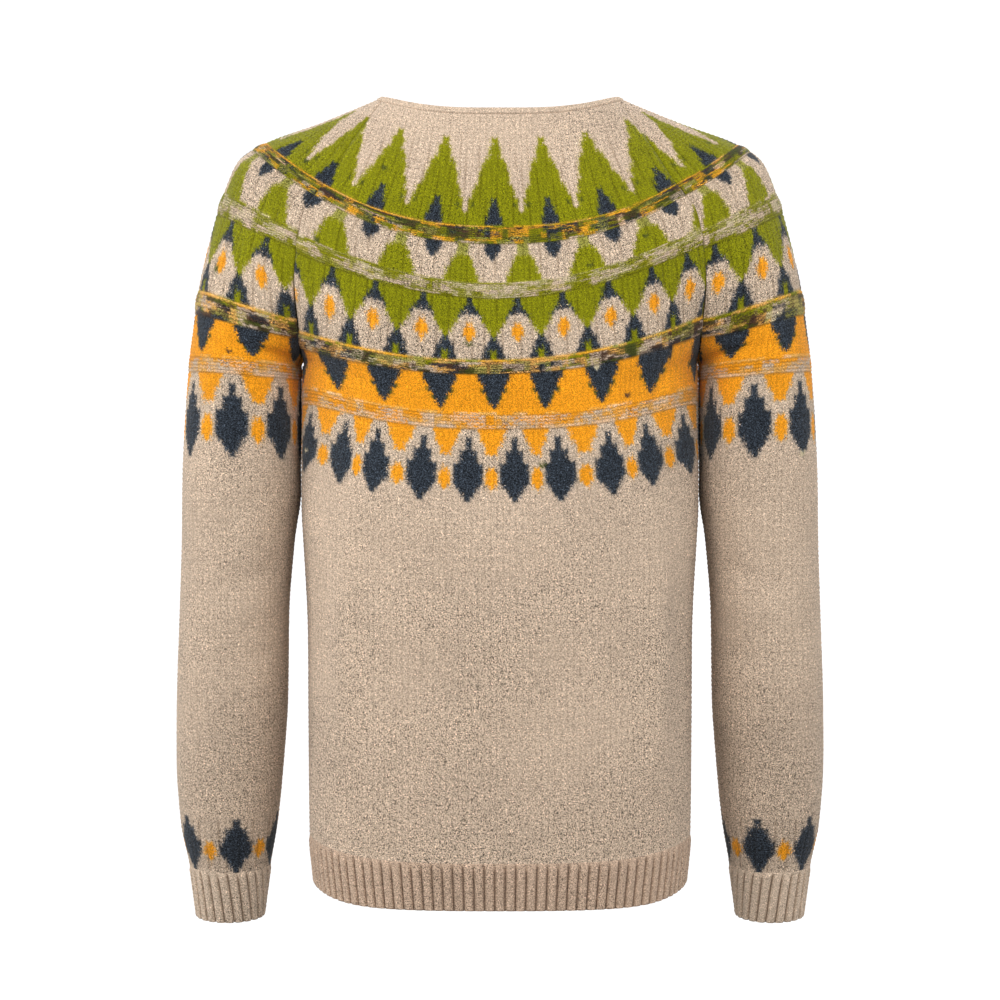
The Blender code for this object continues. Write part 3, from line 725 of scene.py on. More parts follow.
def knit_row(panel, belt, course, points, step, outer, chance):
    """The points of one row, course counted in courses from the belt's top."""
    t = course / belt.courses
    middle_v = belt.top.v + (belt.bottom.v - belt.top.v) * t
    reach = panel.reach(middle_v)
    low, high = panel.ends(middle_v)
    ends = wale_at(belt, course, np.array([low, high]), reach)
    numbers = np.arange(math.floor(ends[0] / step) - 1, math.ceil(ends[1] / step) + 1) * step
    places, hangs, heights = (np.array(column) for column in zip(*points))
    wales = (numbers[:, None] + places[None, :] * step).ravel()
    hang = np.tile(hangs, len(numbers))
    height = np.tile(heights, len(numbers))
    inside = (wales > ends[0] + END_GAP) & (wales < ends[1] - END_GAP)
    wales = np.concatenate([ends[:1], wales[inside], ends[1:]])
    hang = np.concatenate([[0.0], hang[inside], [0.0]])
    height = np.concatenate([[heights.min()], height[inside], [heights.min()]])
    soft = min(1.0, course, belt.courses - course)
    place = motif_place(belt, (wales - 0.5) / belt.repeat)
    c = place * reach if belt.fan else place * belt_width(belt, course)
    share = c / reach
    top = belt.top.v + belt.top.bend * share**2 + belt.top.tilt * share
    bottom = belt.bottom.v + belt.bottom.bend * share**2 + belt.bottom.tilt * share
    v = top + (bottom - top) * (course + hang * soft) / belt.courses
    reach = np.broadcast_to(panel.reach(v), v.shape)
    if belt.fan:
        c = place * reach
    low, high = panel.ends(v)
    c = np.clip(c, low, high)
    c[0] = np.broadcast_to(low, v.shape)[0]
    c[-1] = np.broadcast_to(high, v.shape)[-1]
    if not outer:
        return Row(belt, course, c, v, reach, np.full(len(c), -panel.wall), wales, np.ones(len(c)))
    deepest = min(point[2] for point in belt.cell.groove)
    highest = max(point[2] for point in belt.cell.crest)
    # Painted shade and highlight: the colour goes from hollow_shade in the deepest hollows to the crest
    # highlight on the tops
    level = np.clip((height - deepest) / (highest - deepest), 0.0, 1.0)
    shade = belt.cell.hollow_shade + (PAINTED_CREST_HIGHLIGHT - belt.cell.hollow_shade) * level
    if belt.cell is RIB:
        late = RIB_GROWS_IN * (1.0 + RIB_TOPS_VARY * np.sin(RIB_TOPS_TURN * np.round(wales)))
        grown = np.minimum(1.0, course / late)
        height = height * grown
        shade = 1.0 + (shade - 1.0) * grown
    if belt.fan and belt.cell is KNIT:
        between = np.abs(wales - np.round(wales)) < FURROW_HALF_WIDTH
        turn = FURROW_TURN[0] * np.round(wales) + FURROW_TURN[1] * course
        furrow = between * np.clip(np.sin(turn), 0.0, 1.0)
        furrow = furrow * np.clip((v - FURROWS_FROM) / FURROWS_FADE, 0.0, 1.0)
        # The furrows sink, and painted shade darkens their colour
        height = height - FURROW * furrow
        shade = shade * (1.0 - FURROW_SHADE * furrow)
    edge = np.minimum(c - low, high - c)
    roll = -SEAM_ROLL * np.exp(-((edge / SEAM_ROLL_WIDTH) ** 2))
    hump = belt.hump * math.sin(math.pi * t)
    lift = height + roll + hump + chance.normal(0.0, UNEVEN, len(c))
    return Row(belt, course, c, v, reach, lift, wales, shade)


def panel_skin(panel, belts, outer, chance):
    """All rows of a skin. Belts meet in one row."""
    rows = []
    for number, belt in enumerate(belts):
        if outer:
            courses = np.arange(0, 2 * belt.courses + 1) / 2
        else:
            courses = np.append(np.arange(0, belt.courses - 1, LINING_STEP), belt.courses).astype(float)
        for course in courses[0 if number == 0 else 1:]:
            if outer:
                points = belt.cell.groove if course == int(course) else belt.cell.crest
                rows.append(knit_row(panel, belt, course, points, 1, True, chance))
            else:
                rows.append(knit_row(panel, belt, course, LINING_POINTS, LINING_STEP, False, chance))
    if outer and belts[-1].cell is KNIT:
        last = rows[-1]
        rows[-1] = last._replace(lift=np.zeros(len(last.c)), shade=np.ones(len(last.c)))
    return rows


def zipped(a, a_at, b, b_at):
    """Triangles between two chains of points, taken in the order of their places along."""
    steps = np.concatenate([a_at[1:], b_at[1:]])
    from_a = np.concatenate([np.ones(len(a) - 1, bool), np.zeros(len(b) - 1, bool)])
    order = np.argsort(steps, kind="stable")
    from_a = from_a[order]
    in_a = np.cumsum(from_a)
    in_b = np.cumsum(~from_a)
    on_a = np.stack([a[in_a - 1], a[in_a], b[in_b]], axis=1)
    on_b = np.stack([a[in_a], b[in_b], b[in_b - 1]], axis=1)
    middle_a = (a_at[in_a - 1] + a_at[in_a] + b_at[in_b]) / 3
    middle_b = (a_at[in_a] + b_at[in_b] + b_at[in_b - 1]) / 3
    return np.where(from_a[:, None], on_a, on_b), np.where(from_a, middle_a, middle_b)


# Legs in a streak of a ridge, fewest and most
STREAK_LEGS = (2, 8)
STREAK_GOES_ON = 0.45
# How likely a stitch of a motif is knitted in another yarn by a fleck
FLECKS = {"a": ("b", 0.006), "u": ("d", 0.002), "n": ("w", 0.002), "g": ("d", 0.004)}
TABLE_LEGS = 400


class Colours:
    """Looks up the yarn of each leg of each stitch of a belt, and the yarn that blurs into it:
    in a ridge the other ply of the streak, elsewhere a neighbouring leg's."""

    def __init__(self, belts, chance):
        self.chance = chance
        self.letters = sorted(YARNS)
        self.tables = {id(belt): self.table(belt) for belt in belts}

    def table(self, belt):
        if belt.cell is PURL and len(belt.chart) > 1:
            return self.streaks(belt), self.streaks(belt)
        grid = np.empty((belt.courses, TABLE_LEGS), dtype=int)
        for course in range(belt.courses):
            line = belt.chart[min(course, len(belt.chart) - 1)]
            numbers = np.array([self.letters.index(letter) for letter in line])
            from_axis = (np.arange(TABLE_LEGS) - TABLE_LEGS // 2 + 0.5 - 1.0) / 2
            around = np.abs((from_axis + belt.repeat / 2) % belt.repeat - belt.repeat / 2)
            leg = np.minimum((around * 2).astype(int), len(line) - 1)
            grid[course] = numbers[leg]
        if len(belt.chart) > 1:
            self.fleck(grid)
        neighbours = [np.roll(grid, 1, axis=1), np.roll(grid, -1, axis=1), grid.copy(), grid.copy()]
        neighbours[2][1:] = grid[:-1]
        neighbours[3][:-1] = grid[1:]
        pick = self.chance.integers(0, 4, grid.shape)
        return grid, np.choose(pick, neighbours)

    def streaks(self, belt):
        grid = np.empty((belt.courses, TABLE_LEGS), dtype=int)
        for course in range(belt.courses):
            numbers = np.array([self.letters.index(letter) for letter in belt.chart[course]])
            leg = 0
            while leg < TABLE_LEGS:
                run = int(self.chance.integers(*STREAK_LEGS))
                if course > 1 and self.chance.random() < STREAK_GOES_ON:
                    grid[course, leg:leg + run] = grid[course - 1, leg:leg + run]
                else:
                    grid[course, leg:leg + run] = self.chance.choice(numbers)
                leg += run
        return grid

    def fleck(self, grid):
        """Swaps a few whole stitches for another yarn."""
        for letter, (other, likely) in FLECKS.items():
            for course in range(grid.shape[0]):
                for stitch in np.flatnonzero(self.chance.random(grid.shape[1] // 2) < likely):
                    pair = grid[course, 2 * stitch:2 * stitch + 2]
                    if np.all(pair == self.letters.index(letter)):
                        pair[:] = self.letters.index(other)

    def of(self, belt, course, wales):
        yarn, ply = self.tables[id(belt)]
        leg = np.clip(np.floor(wales * 2).astype(int) + TABLE_LEGS // 2, 0, TABLE_LEGS - 1)
        return yarn[int(course), leg], ply[int(course), leg]


def to_linear(colour):
    share = np.clip(np.array(colour) / 255.0, 0.0, 1.0)
    return np.where(share <= 0.04045, share / 12.92, ((share + 0.055) / 1.055) ** 2.4)


YARN_JITTER = 0.03


def knit(name, panel, belts, seed, material):
    """A closed shell of knitting: the outer skin, a coarser lining and the rims between."""
    chance = np.random.default_rng(seed)
    colours = Colours(belts, chance)
    outer = panel_skin(panel, belts, True, chance)
    inner = panel_skin(panel, belts, False, chance)
    rows = outer + inner
    starts = np.concatenate([[0], np.cumsum([len(row.c) for row in rows])])
    ids = [np.arange(first, last) for first, last in zip(starts[:-1], starts[1:])]
    whole = [np.concatenate([getattr(row, part) for row in rows]) for part in ("c", "v", "lift")]
    points = panel.place(*whole)
    triangles = []
    yarns = []
    for group, first in ((outer, 0), (inner, len(outer))):
        for number in range(1, len(group)):
            upper, lower = group[number - 1], group[number]
            above = upper.course if upper.belt is lower.belt else 0.0
            faces, middle = zipped(
                ids[first + number - 1], wale_at(lower.belt, above, upper.c, upper.reach),
                ids[first + number], wale_at(lower.belt, lower.course, lower.c, lower.reach),
            )
            triangles.append(faces)
            legs = colours.of(lower.belt, math.ceil(lower.course) - 1, middle)
            streaky = float(lower.belt.cell is PURL and len(lower.belt.chart) > 1)
            yarns.append(np.stack([*legs, np.full(len(faces), streaky)], axis=1))
    last = len(outer) - 1
    rims = [
        (ids[0], outer[0].c, ids[len(outer)], inner[0].c),
        (ids[last], outer[-1].c, ids[-1], inner[-1].c),
    ]
    for end in (0, -1):
        chains = []
        for group, first in ((outer, 0), (inner, len(outer))):
            chains.append(np.array([ids[first + i][end] for i in range(len(group))]))
            chains.append(np.array([row.v[end] for row in group]))
        rims.append(tuple(chains))
    plain = colours.letters.index("o")
    rims_from = sum(len(faces) for faces in triangles)
    for chain in rims:
        faces, _ = zipped(*chain)
        triangles.append(faces)
        yarns.append(np.tile([plain, plain, 0.0], (len(faces), 1)))
    triangles = np.concatenate(triangles)
    yarns = np.concatenate(yarns)
    mesh = triangle_mesh(name, points, triangles)
    mesh.materials.append(material)
    corners = np.empty(len(mesh.loops), dtype=np.int32)
    mesh.loops.foreach_get("vertex_index", corners)
    palette = np.array([YARNS[letter].colour for letter in colours.letters]) / 255.0
    melange = np.array([YARNS[letter].melange for letter in colours.letters])
    main = yarns[:, 0].astype(int)
    other = yarns[:, 1].astype(int)
    uneven = 1.0 + chance.normal(0.0, YARN_JITTER, (len(main), 1))
    # Painted shade and highlight at each corner, browner the deeper the hollow
    shade = np.concatenate([row.shade for row in rows])[corners][:, None] ** PAINTED_SHADE_WARMTH
    rim = np.arange(len(main)) >= rims_from
    paint(mesh, "yarn", palette[main] * uneven, melange[main], shade, corners, rim)
    paint(mesh, "ply", palette[other] * uneven, yarns[:, 2], shade, corners, rim)

    above = dict(zip(map(id, belts), np.cumsum([0] + [belt.courses for belt in belts])))
    courses = np.concatenate([np.full(len(row.c), above[id(row.belt)] + row.course) for row in rows])
    places = np.stack([np.concatenate([row.wale for row in rows]), courses], axis=1)
    stitches = mesh.uv_layers.new(name="stitches")
    stitches.data.foreach_set("uv", places[corners].astype(np.float32).ravel())
    return add_object(name, mesh)


def paint(mesh, name, colour, alpha, shade, corners, rim):
    """Stores the triangles' colours, blended at each corner with those around it and multiplied
    by shade, which is painted shade in the hollows and a painted highlight on the crests. A rim
    takes the colours of the knitting that it joins."""
    layer = mesh.color_attributes.new(name, "FLOAT_COLOR", "CORNER")
    own = np.repeat(colour, 3, axis=0)
    on_rim = np.repeat(rim, 3)
    weight = np.where(on_rim, 0.0, 1.0)
    sums = np.stack([np.bincount(corners, own[:, channel] * weight) for channel in range(3)], axis=1)
    counts = np.bincount(corners, weight)
    around = (sums / np.maximum(counts, 1.0)[:, None])[corners]
    blend = np.where(on_rim, 1.0, YARN_BLEND)[:, None]
    values = np.ones((len(corners), 4), dtype=np.float32)
    values[:, :3] = np.clip(to_linear((own + blend * (around - own)) * 255.0) * shade, 0.0, 1.0)
    values[:, 3] = np.repeat(alpha, 3)
    layer.data.foreach_set("color", values.ravel())


def add_object(name, data):
    item = bpy.data.objects.new(name, data)
    bpy.context.collection.objects.link(item)
    return item


def triangle_mesh(name, points, triangles):
    """A smooth mesh whose faces all point out of the shell that they close."""
    mesh = bpy.data.meshes.new(name)
    mesh.vertices.add(len(points))
    mesh.vertices.foreach_set("co", points.astype(np.float32).ravel())
    mesh.loops.add(3 * len(triangles))
    mesh.loops.foreach_set("vertex_index", triangles.astype(np.int32).ravel())
    mesh.polygons.add(len(triangles))
    mesh.polygons.foreach_set("loop_start", np.arange(0, 3 * len(triangles), 3, dtype=np.int32))
    mesh.update(calc_edges=True)
    shape = bmesh.new()
    shape.from_mesh(mesh)
    bmesh.ops.recalc_face_normals(shape, faces=shape.faces)
    shape.to_mesh(mesh)
    shape.free()
    mesh.shade_smooth()
    mesh.set_sharp_from_angle(angle=RIM_ANGLE)
    return mesh



# Materials

class Nodes:
    """Short calls that add linked nodes to a material."""

    def __init__(self, name):
        self.material = bpy.data.materials.new(name)
        self.material.use_nodes = True
        self.tree = self.material.node_tree
        self.shader = self.tree.nodes["Principled BSDF"]
        self.place = self.add("ShaderNodeTexCoord").outputs["Object"]

    def add(self, kind, settings=(), **inputs):
        node = self.tree.nodes.new(kind)
        for key, value in dict(settings).items():
            setattr(node, key, value)
        for key, value in inputs.items():
            by_number = key[0] == "i" and key[1:].isdigit()
            self.put(node.inputs[int(key[1:]) if by_number else key], value)
        return node

    def put(self, socket, value):
        if isinstance(value, bpy.types.NodeSocket):
            self.tree.links.new(value, socket)
        else:
            socket.default_value = value

    def surface(self, inputs):
        """Sets the shader's inputs, by name."""
        for key, value in inputs.items():
            self.put(self.shader.inputs[key], value)
        return self.material

    def math(self, operation, a, b=0.0):
        return self.add("ShaderNodeMath", {"operation": operation}, i0=a, i1=b).outputs[0]

    def times(self, a, b):
        return self.math("MULTIPLY", a, b)

    def mapped(self, vector, scale):
        return self.add("ShaderNodeMapping", Vector=vector, Scale=scale).outputs[0]

    def noise(self, place, scale, detail=2.0, roughness=0.55):
        node = self.add("ShaderNodeTexNoise", Vector=place, Scale=scale, Detail=detail, Roughness=roughness)
        return node.outputs["Fac"]

    def ramp(self, value, low, high, to_low=0.0, to_high=1.0):
        limits = {"i1": low, "i2": high, "i3": to_low, "i4": to_high}
        return self.add("ShaderNodeMapRange", {"clamp": True}, i0=value, **limits).outputs[0]

    def mix(self, kind, share, a, b):
        node = self.add("ShaderNodeMix", {"data_type": "RGBA", "blend_type": kind}, i0=share, i6=a, i7=b)
        return node.outputs[2]

    def bump(self, strength, distance, height):
        node = self.add("ShaderNodeBump", Strength=strength, Distance=distance, Height=height)
        return node.outputs[0]


def rgba(*colour):
    return (*to_linear(colour), 1.0)


# Noise cells per metre of the wool's grain, its fuzz, its flecks, and its paler and darker areas
GRAIN_SCALE = 1300.0
FUZZ_SCALE = 800.0
FLECK_SCALE = 1150.0
CLOUD_SCALE = 22.0
PATCH_SCALE = 11.0
# The light flecks are another slice of the noise than the dark ones
SALT_SLICE = 3.7
NAP_HEIGHT = 0.0006
DARKEST_FLECK = 0.85


def wool(name, pepper_share):
    """Brushed tweed wool: plies that blur into each other, light and dark flecks, short nap."""
    nodes = Nodes(name)
    times = nodes.times
    yarn, ply = (
        nodes.add("ShaderNodeAttribute", {"attribute_name": layer, "attribute_type": "GEOMETRY"}).outputs
        for layer in ("yarn", "ply")
    )
    place = nodes.place
    stitches = nodes.add("ShaderNodeUVMap", {"uv_map": "stitches"}).outputs[0]
    fibres = nodes.noise(nodes.mapped(stitches, (4.0, 4.5, 1.0)), 1.0, 3.0, 0.7)
    streaks = nodes.noise(nodes.mapped(stitches, (0.9, 3.6, 1.0)), 1.0, 3.0, 0.6)
    grain = nodes.noise(place, GRAIN_SCALE, 2.0, 0.6)
    fuzz = nodes.noise(place, FUZZ_SCALE, 2.0, 0.6)
    pepper = nodes.noise(place, FLECK_SCALE, 1.0, 0.5)
    salt = nodes.add("ShaderNodeTexNoise", {"noise_dimensions": "4D"}, Vector=place, W=SALT_SLICE,
                     Scale=FLECK_SCALE, Detail=1.0).outputs["Fac"]
    cloud = nodes.noise(place, CLOUD_SCALE, 2.0, 0.5)
    # More dark flecks in patches, and more low down on the garment as painted shade for the dimmer light
    # there
    height = nodes.add("ShaderNodeSeparateXYZ", Vector=place).outputs["Z"]
    painted_low_shade = nodes.ramp(height, -0.54, -0.36, 1.65, 1.0)
    patches = nodes.ramp(nodes.noise(place, PATCH_SCALE, 3.0, 0.55), 0.35, 0.65, 0.45, 1.2)
    heather_and_low_shade = times(patches, painted_low_shade)
    melange = yarn["Alpha"]
    streaky = ply["Alpha"]
    ragged = nodes.math("ADD", streaks, times(fuzz, 0.4))
    blur = nodes.math("ADD", times(nodes.ramp(ragged, 0.62, 0.76), streaky),
                      times(nodes.ramp(fuzz, 0.54, 0.62), nodes.math("SUBTRACT", 1.0, streaky)))
    colour = nodes.mix("MIX", blur, yarn["Color"], ply["Color"])
    fibre_tone = nodes.ramp(fibres, 0.30, 0.70, 0.84, 1.16)
    grain_tone = nodes.ramp(grain, 0.34, 0.66, 0.64, 1.34)
    cloud_tone = nodes.ramp(cloud, 0.3, 0.7, 0.93, 1.06)
    dark = times(nodes.ramp(pepper, 0.53, 0.62, 0.0, pepper_share), melange)
    dark = nodes.math("MINIMUM", times(dark, heather_and_low_shade), DARKEST_FLECK)
    light = times(nodes.ramp(salt, 0.56, 0.68, 0.0, 0.75), melange)
    flecks = times(nodes.math("SUBTRACT", 1.0, dark), nodes.math("ADD", 1.0, light))
    fine_tone = nodes.math("POWER", times(fibre_tone, grain_tone), nodes.math("MAXIMUM", melange, 1.0))
    tone = times(fine_tone, times(cloud_tone, flecks))
    grey = nodes.add("ShaderNodeCombineColor", i0=tone, i1=tone, i2=tone).outputs[0]
    relief = nodes.math("ADD", times(fibres, 0.7), grain)
    return nodes.surface({
        "Base Color": nodes.mix("MULTIPLY", 1.0, colour, grey), "Normal": nodes.bump(0.7, NAP_HEIGHT, relief),
        "Roughness": 0.95, "Specular IOR Level": 0.08, "Sheen Weight": 0.14, "Sheen Roughness": 0.5,
        "Sheen Tint": (0.95, 0.92, 0.88, 1.0),
    })


FINE_BUMP = 0.0002


def horn():
    """Brown horn with drifting pale streaks and a soft polish."""
    nodes = Nodes("horn")
    streaks = nodes.noise(nodes.mapped(nodes.place, (60.0, 60.0, 260.0)), 2.0, 4.0, 0.6)
    fine = nodes.noise(nodes.place, 1500.0, 2.0, 0.5)
    shade = nodes.ramp(streaks, 0.35, 0.65)
    return nodes.surface({
        "Base Color": nodes.mix("MIX", shade, rgba(58, 36, 22), rgba(128, 88, 54)),
        "Roughness": nodes.ramp(fine, 0.3, 0.7, 0.26, 0.44),
        "Normal": nodes.bump(0.2, FINE_BUMP, fine), "Coat Weight": 0.2,
    })


def thread():
    """Twisted sewing thread."""
    nodes = Nodes("thread")
    twist = nodes.add("ShaderNodeTexWave", {"bands_direction": "DIAGONAL"}, Vector=nodes.place, Scale=900.0)
    shade = nodes.ramp(twist.outputs["Fac"], 0.0, 1.0)
    return nodes.surface({
        "Base Color": nodes.mix("MIX", shade, rgba(150, 128, 104), rgba(196, 174, 148)),
        "Normal": nodes.bump(0.6, FINE_BUMP, shade), "Roughness": 0.8,
    })


# Buttons

# The turned face's height, and the profile from the middle of the underside, as shares of the
# button's thickness and radius
BUTTON_FACE = 0.70
BUTTON_PROFILE = (
    (0.0, 0.0), (0.78, 0.0), (0.93, 0.10), (1.0, 0.38), (1.0, 0.70), (0.95, 0.92), (0.87, 1.0),
    (0.78, 0.94), (0.70, 0.80), (0.58, 0.74), (0.0, BUTTON_FACE),
)
BUTTON_STEPS = 48
HOLE_SPREAD = 0.0021
HOLE_RADIUS = 0.00085
THREAD_RADIUS = 0.00035
THREAD_ARCH = 0.0006
THREAD_DIP = 0.0012
THREAD_SIDES = 8
THREAD_RINGS = 9
DIAGONAL = 0.7071
BUTTON_EDGE_ANGLE = math.radians(40)


def button_mesh(material, thread_material):
    """A turned button with four holes and two crossing stitches of thread."""
    shape = bmesh.new()
    points = [
        shape.verts.new((BUTTON_RADIUS * radius, 0.0, BUTTON_THICKNESS * height))
        for radius, height in BUTTON_PROFILE
    ]
    edges = [shape.edges.new(pair) for pair in zip(points[:-1], points[1:])]
    bmesh.ops.spin(
        shape, geom=points + edges, cent=(0, 0, 0), axis=(0, 0, 1), angle=2 * math.pi,
        steps=BUTTON_STEPS, use_merge=True,
    )
    bmesh.ops.remove_doubles(shape, verts=shape.verts, dist=0.00002)
    bmesh.ops.recalc_face_normals(shape, faces=shape.faces)
    disc = bpy.data.meshes.new("button_disc")
    shape.to_mesh(disc)
    shape.free()
    disc.materials.append(material)
    disc.materials.append(thread_material)
    master = add_object("button_master", disc)
    cutters = bmesh.new()
    for x in (-1, 1):
        for y in (-1, 1):
            drill = bmesh.ops.create_cone(
                cutters, cap_ends=True, segments=16, radius1=HOLE_RADIUS, radius2=HOLE_RADIUS,
                depth=4 * BUTTON_THICKNESS,
            )
            place = (x * HOLE_SPREAD / 2, y * HOLE_SPREAD / 2, 0)
            bmesh.ops.translate(cutters, verts=drill["verts"], vec=place)
    drills = bpy.data.meshes.new("drills")
    cutters.to_mesh(drills)
    cutters.free()
    cutter = add_object("drills", drills)
    cut = master.modifiers.new("holes", "BOOLEAN")
    cut.object = cutter
    cut.operation = "DIFFERENCE"
    whole = bpy.data.meshes.new_from_object(master.evaluated_get(bpy.context.evaluated_depsgraph_get()))
    bpy.data.objects.remove(master)
    bpy.data.objects.remove(cutter)
    joined = bmesh.new()
    joined.from_mesh(whole)
    for turn in (1, -1):
        add_stitch(joined, turn)
    joined.to_mesh(whole)
    joined.free()
    whole.shade_smooth()
    whole.set_sharp_from_angle(angle=BUTTON_EDGE_ANGLE)
    return whole


def add_stitch(shape, turn):
    """A thread over the button's face from one hole to the opposite one."""
    first = np.array([-HOLE_SPREAD / 2, -turn * HOLE_SPREAD / 2])
    low = BUTTON_FACE * BUTTON_THICKNESS - THREAD_DIP
    across = np.array([turn, -1.0]) * DIAGONAL
    rings = []
    for share in np.linspace(0.0, 1.0, THREAD_RINGS):
        middle = first * (1 - 2 * share)
        rise = math.sin(math.pi * share)
        height = low + (THREAD_DIP + THREAD_ARCH) * rise ** 0.5
        ring = []
        for angle in np.arange(THREAD_SIDES) * 2 * math.pi / THREAD_SIDES:
            flat = middle + across * THREAD_RADIUS * math.cos(angle)
            ring.append(shape.verts.new((flat[0], flat[1], height + THREAD_RADIUS * math.sin(angle))))
        rings.append(ring)
    faces = []
    for before, after in zip(rings[:-1], rings[1:]):
        for number in range(THREAD_SIDES):
            ends = (number, (number + 1) % THREAD_SIDES)
            corners = [before[end] for end in ends] + [after[end] for end in ends[::-1]]
            faces.append(shape.faces.new(corners))
    faces.append(shape.faces.new(rings[0][::-1]))
    faces.append(shape.faces.new(rings[-1]))
    for face_made in faces:
        face_made.material_index = 1
    bmesh.ops.recalc_face_normals(shape, faces=faces)


def add_buttons(lift):
    mesh = button_mesh(horn(), thread())
    levels = np.linspace(0.0, BODY[-1].v, 400)
    middle = FRONT.base(np.zeros(len(levels)), levels)
    for number, height in enumerate(np.linspace(BUTTON_TOP, BUTTON_BOTTOM, BUTTON_COUNT), start=1):
        v = float(np.interp(-height, -middle[:, 2], levels))
        normal = FRONT.normal(np.array([0.0]), np.array([v]), FRONT_OUT)[0]
        place = FRONT.base(np.array([0.0]), np.array([v]))[0] + normal * (lift + LAYER_GAP)
        item = add_object(f"sewn_button_{number}", mesh)
        item.location = place
        item.rotation_euler = (math.atan2(-normal[1], normal[2]), 0.0, 0.0)
        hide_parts(f"button_{number}")
        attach(item, "root")


# Studio

CAMERA_PLACE = (0.0, 2.5, -0.322)
LENS = 112.5
FLOOR_Z = -1.25
STAGE_GLOW = 0.62
STAGE_SIDES = 96
# Rings of the stage from its middle outwards: radius, and height above the floor
STAGE_RINGS = ((0.0, 0.0), (3.0, 0.0), (4.2, 0.15), (5.0, 0.6), (5.4, 1.4), (5.5, 6.0))
WORLD_STRENGTH = 0.42
LIGHT_TARGET = Vector((0.0, 0.0, -0.33))
Light = namedtuple("Light", "name place size watts")
LIGHTS = (
    Light("face_back", (0.0, 2.7, 0.6), 1.5, 26.0),
    Light("face_front", (0.0, -2.8, 0.2), 1.5, 24.0),
    Light("key_left", (1.0, 1.7, 1.2), 0.8, 22.0),
    Light("key_right", (-0.9, 1.7, 1.25), 0.8, 13.0),
    Light("front_key_left", (0.9, -1.8, 1.2), 0.8, 18.0),
    Light("front_key_right", (-1.0, -1.7, 1.2), 0.8, 20.0),
    Light("side_left", (2.6, 0.2, 0.1), 1.5, 30.0),
    Light("side_right", (-2.6, 0.2, 0.1), 1.5, 18.0),
)


def add_camera():
    camera = bpy.data.cameras.new("camera")
    camera.lens = LENS
    camera.sensor_width = 36.0
    camera.clip_end = 50.0
    item = add_object("camera", camera)
    item.location = CAMERA_PLACE
    item.rotation_euler = (math.radians(90), 0.0, math.radians(180))
    bpy.context.scene.camera = item


def add_stage():
    """A pale floor that runs out evenly to every side and turns up into walls."""
    nodes = Nodes("studio_paper")
    shade = nodes.ramp(nodes.noise(nodes.place, 60.0, 3.0, 0.5), 0.3, 0.7)
    nodes.surface({
        "Base Color": nodes.mix("MIX", shade, (0.90, 0.90, 0.90, 1.0), (0.93, 0.93, 0.93, 1.0)),
        "Roughness": 0.9, "Emission Color": (1.0, 1.0, 1.0, 1.0), "Emission Strength": STAGE_GLOW,
    })
    shape = bmesh.new()
    rings = []
    for radius, height in STAGE_RINGS:
        count = STAGE_SIDES if radius else 1
        angles = [2 * math.pi * number / STAGE_SIDES for number in range(count)]
        rings.append([
            shape.verts.new((radius * math.cos(angle), radius * math.sin(angle), FLOOR_Z + height))
            for angle in angles
        ])
    for before, after in zip(rings[:-1], rings[1:]):
        for number in range(len(after)):
            other = (number + 1) % len(after)
            inner = before if len(before) == 1 else (before[other], before[number])
            shape.faces.new((after[number], after[other], *inner))
    mesh = bpy.data.meshes.new("studio_floor")
    shape.to_mesh(mesh)
    shape.free()
    mesh.shade_smooth()
    mesh.materials.append(nodes.material)
    floor = add_object("studio_floor", mesh)
    floor.visible_diffuse = False
    floor.visible_glossy = False
    floor.visible_shadow = False


def add_studio():
    add_stage()
    world = bpy.data.worlds.new("studio")
    bpy.context.scene.world = world
    world.use_nodes = True
    background = world.node_tree.nodes["Background"]
    background.inputs["Color"].default_value = (1.0, 1.0, 1.0, 1.0)
    background.inputs["Strength"].default_value = WORLD_STRENGTH
    for name, place, size, watts in LIGHTS:
        light = bpy.data.lights.new(name, "AREA")
        light.shape = "DISK"
        light.size = size
        light.energy = watts
        item = add_object(name, light)
        item.location = place
        item.rotation_euler = (LIGHT_TARGET - Vector(place)).to_track_quat("-Z", "Y").to_euler()
    bpy.context.scene.view_settings.view_transform = "Standard"


# The cloth pieces

BAND_GAP = BAND_HALF_WIDTH + LAYER_GAP
RIB_SPREAD = -0.04
OVER_BAND_LIFT = WALL + RIB_HEIGHT + LAYER_GAP
# The fronts' motifs start from the middle of the button band and are spaced evenly
FRONT_PLACES = (spaced(0.0, 0.3225), spaced(0.0, 0.3150), spaced(0.0, 0.2162), spaced(0.0, 0.0448),
                spaced(0.0, 0.0364))
# The motifs' places on a sleeve, and how far its first ridge sinks at the outer side
Axes = namedtuple("Axes", "tree cups daisy peak diamond wrist ridge_1_sink")
SLEEVE_LEFT_AXES = Axes(-0.494, (-0.995, -0.540, -0.133), -0.464, -0.0980, -0.0815, -0.570, 0.0015)
SLEEVE_RIGHT_AXES = Axes(-0.620, (-0.660, -0.253), -0.604, -0.1120, -0.0925, -0.610, 0.0050)


def flat_size(panel, top, bottom):
    """The cut of a piece: its widest row, its length down the middle, and its flat area."""
    levels = np.linspace(top, bottom, 200)
    low, high = panel.ends(levels)
    widths = np.broadcast_to(high - low, levels.shape)
    area = float(np.mean(widths)) * (bottom - top)
    return (float(widths.max()), bottom - top), area


def add_cloth(name, node, panel, belts, seed, material):
    """Knits a piece, hides the solid that it replaces and hangs it on the root. Its flat size is worked out
    but not used.
    """
    item = knit(name, panel, belts, seed, material)
    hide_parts(node)
    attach(item, "root")
    flat, area = flat_size(panel, belts[0].top.v, belts[-1].bottom.v)
    return item


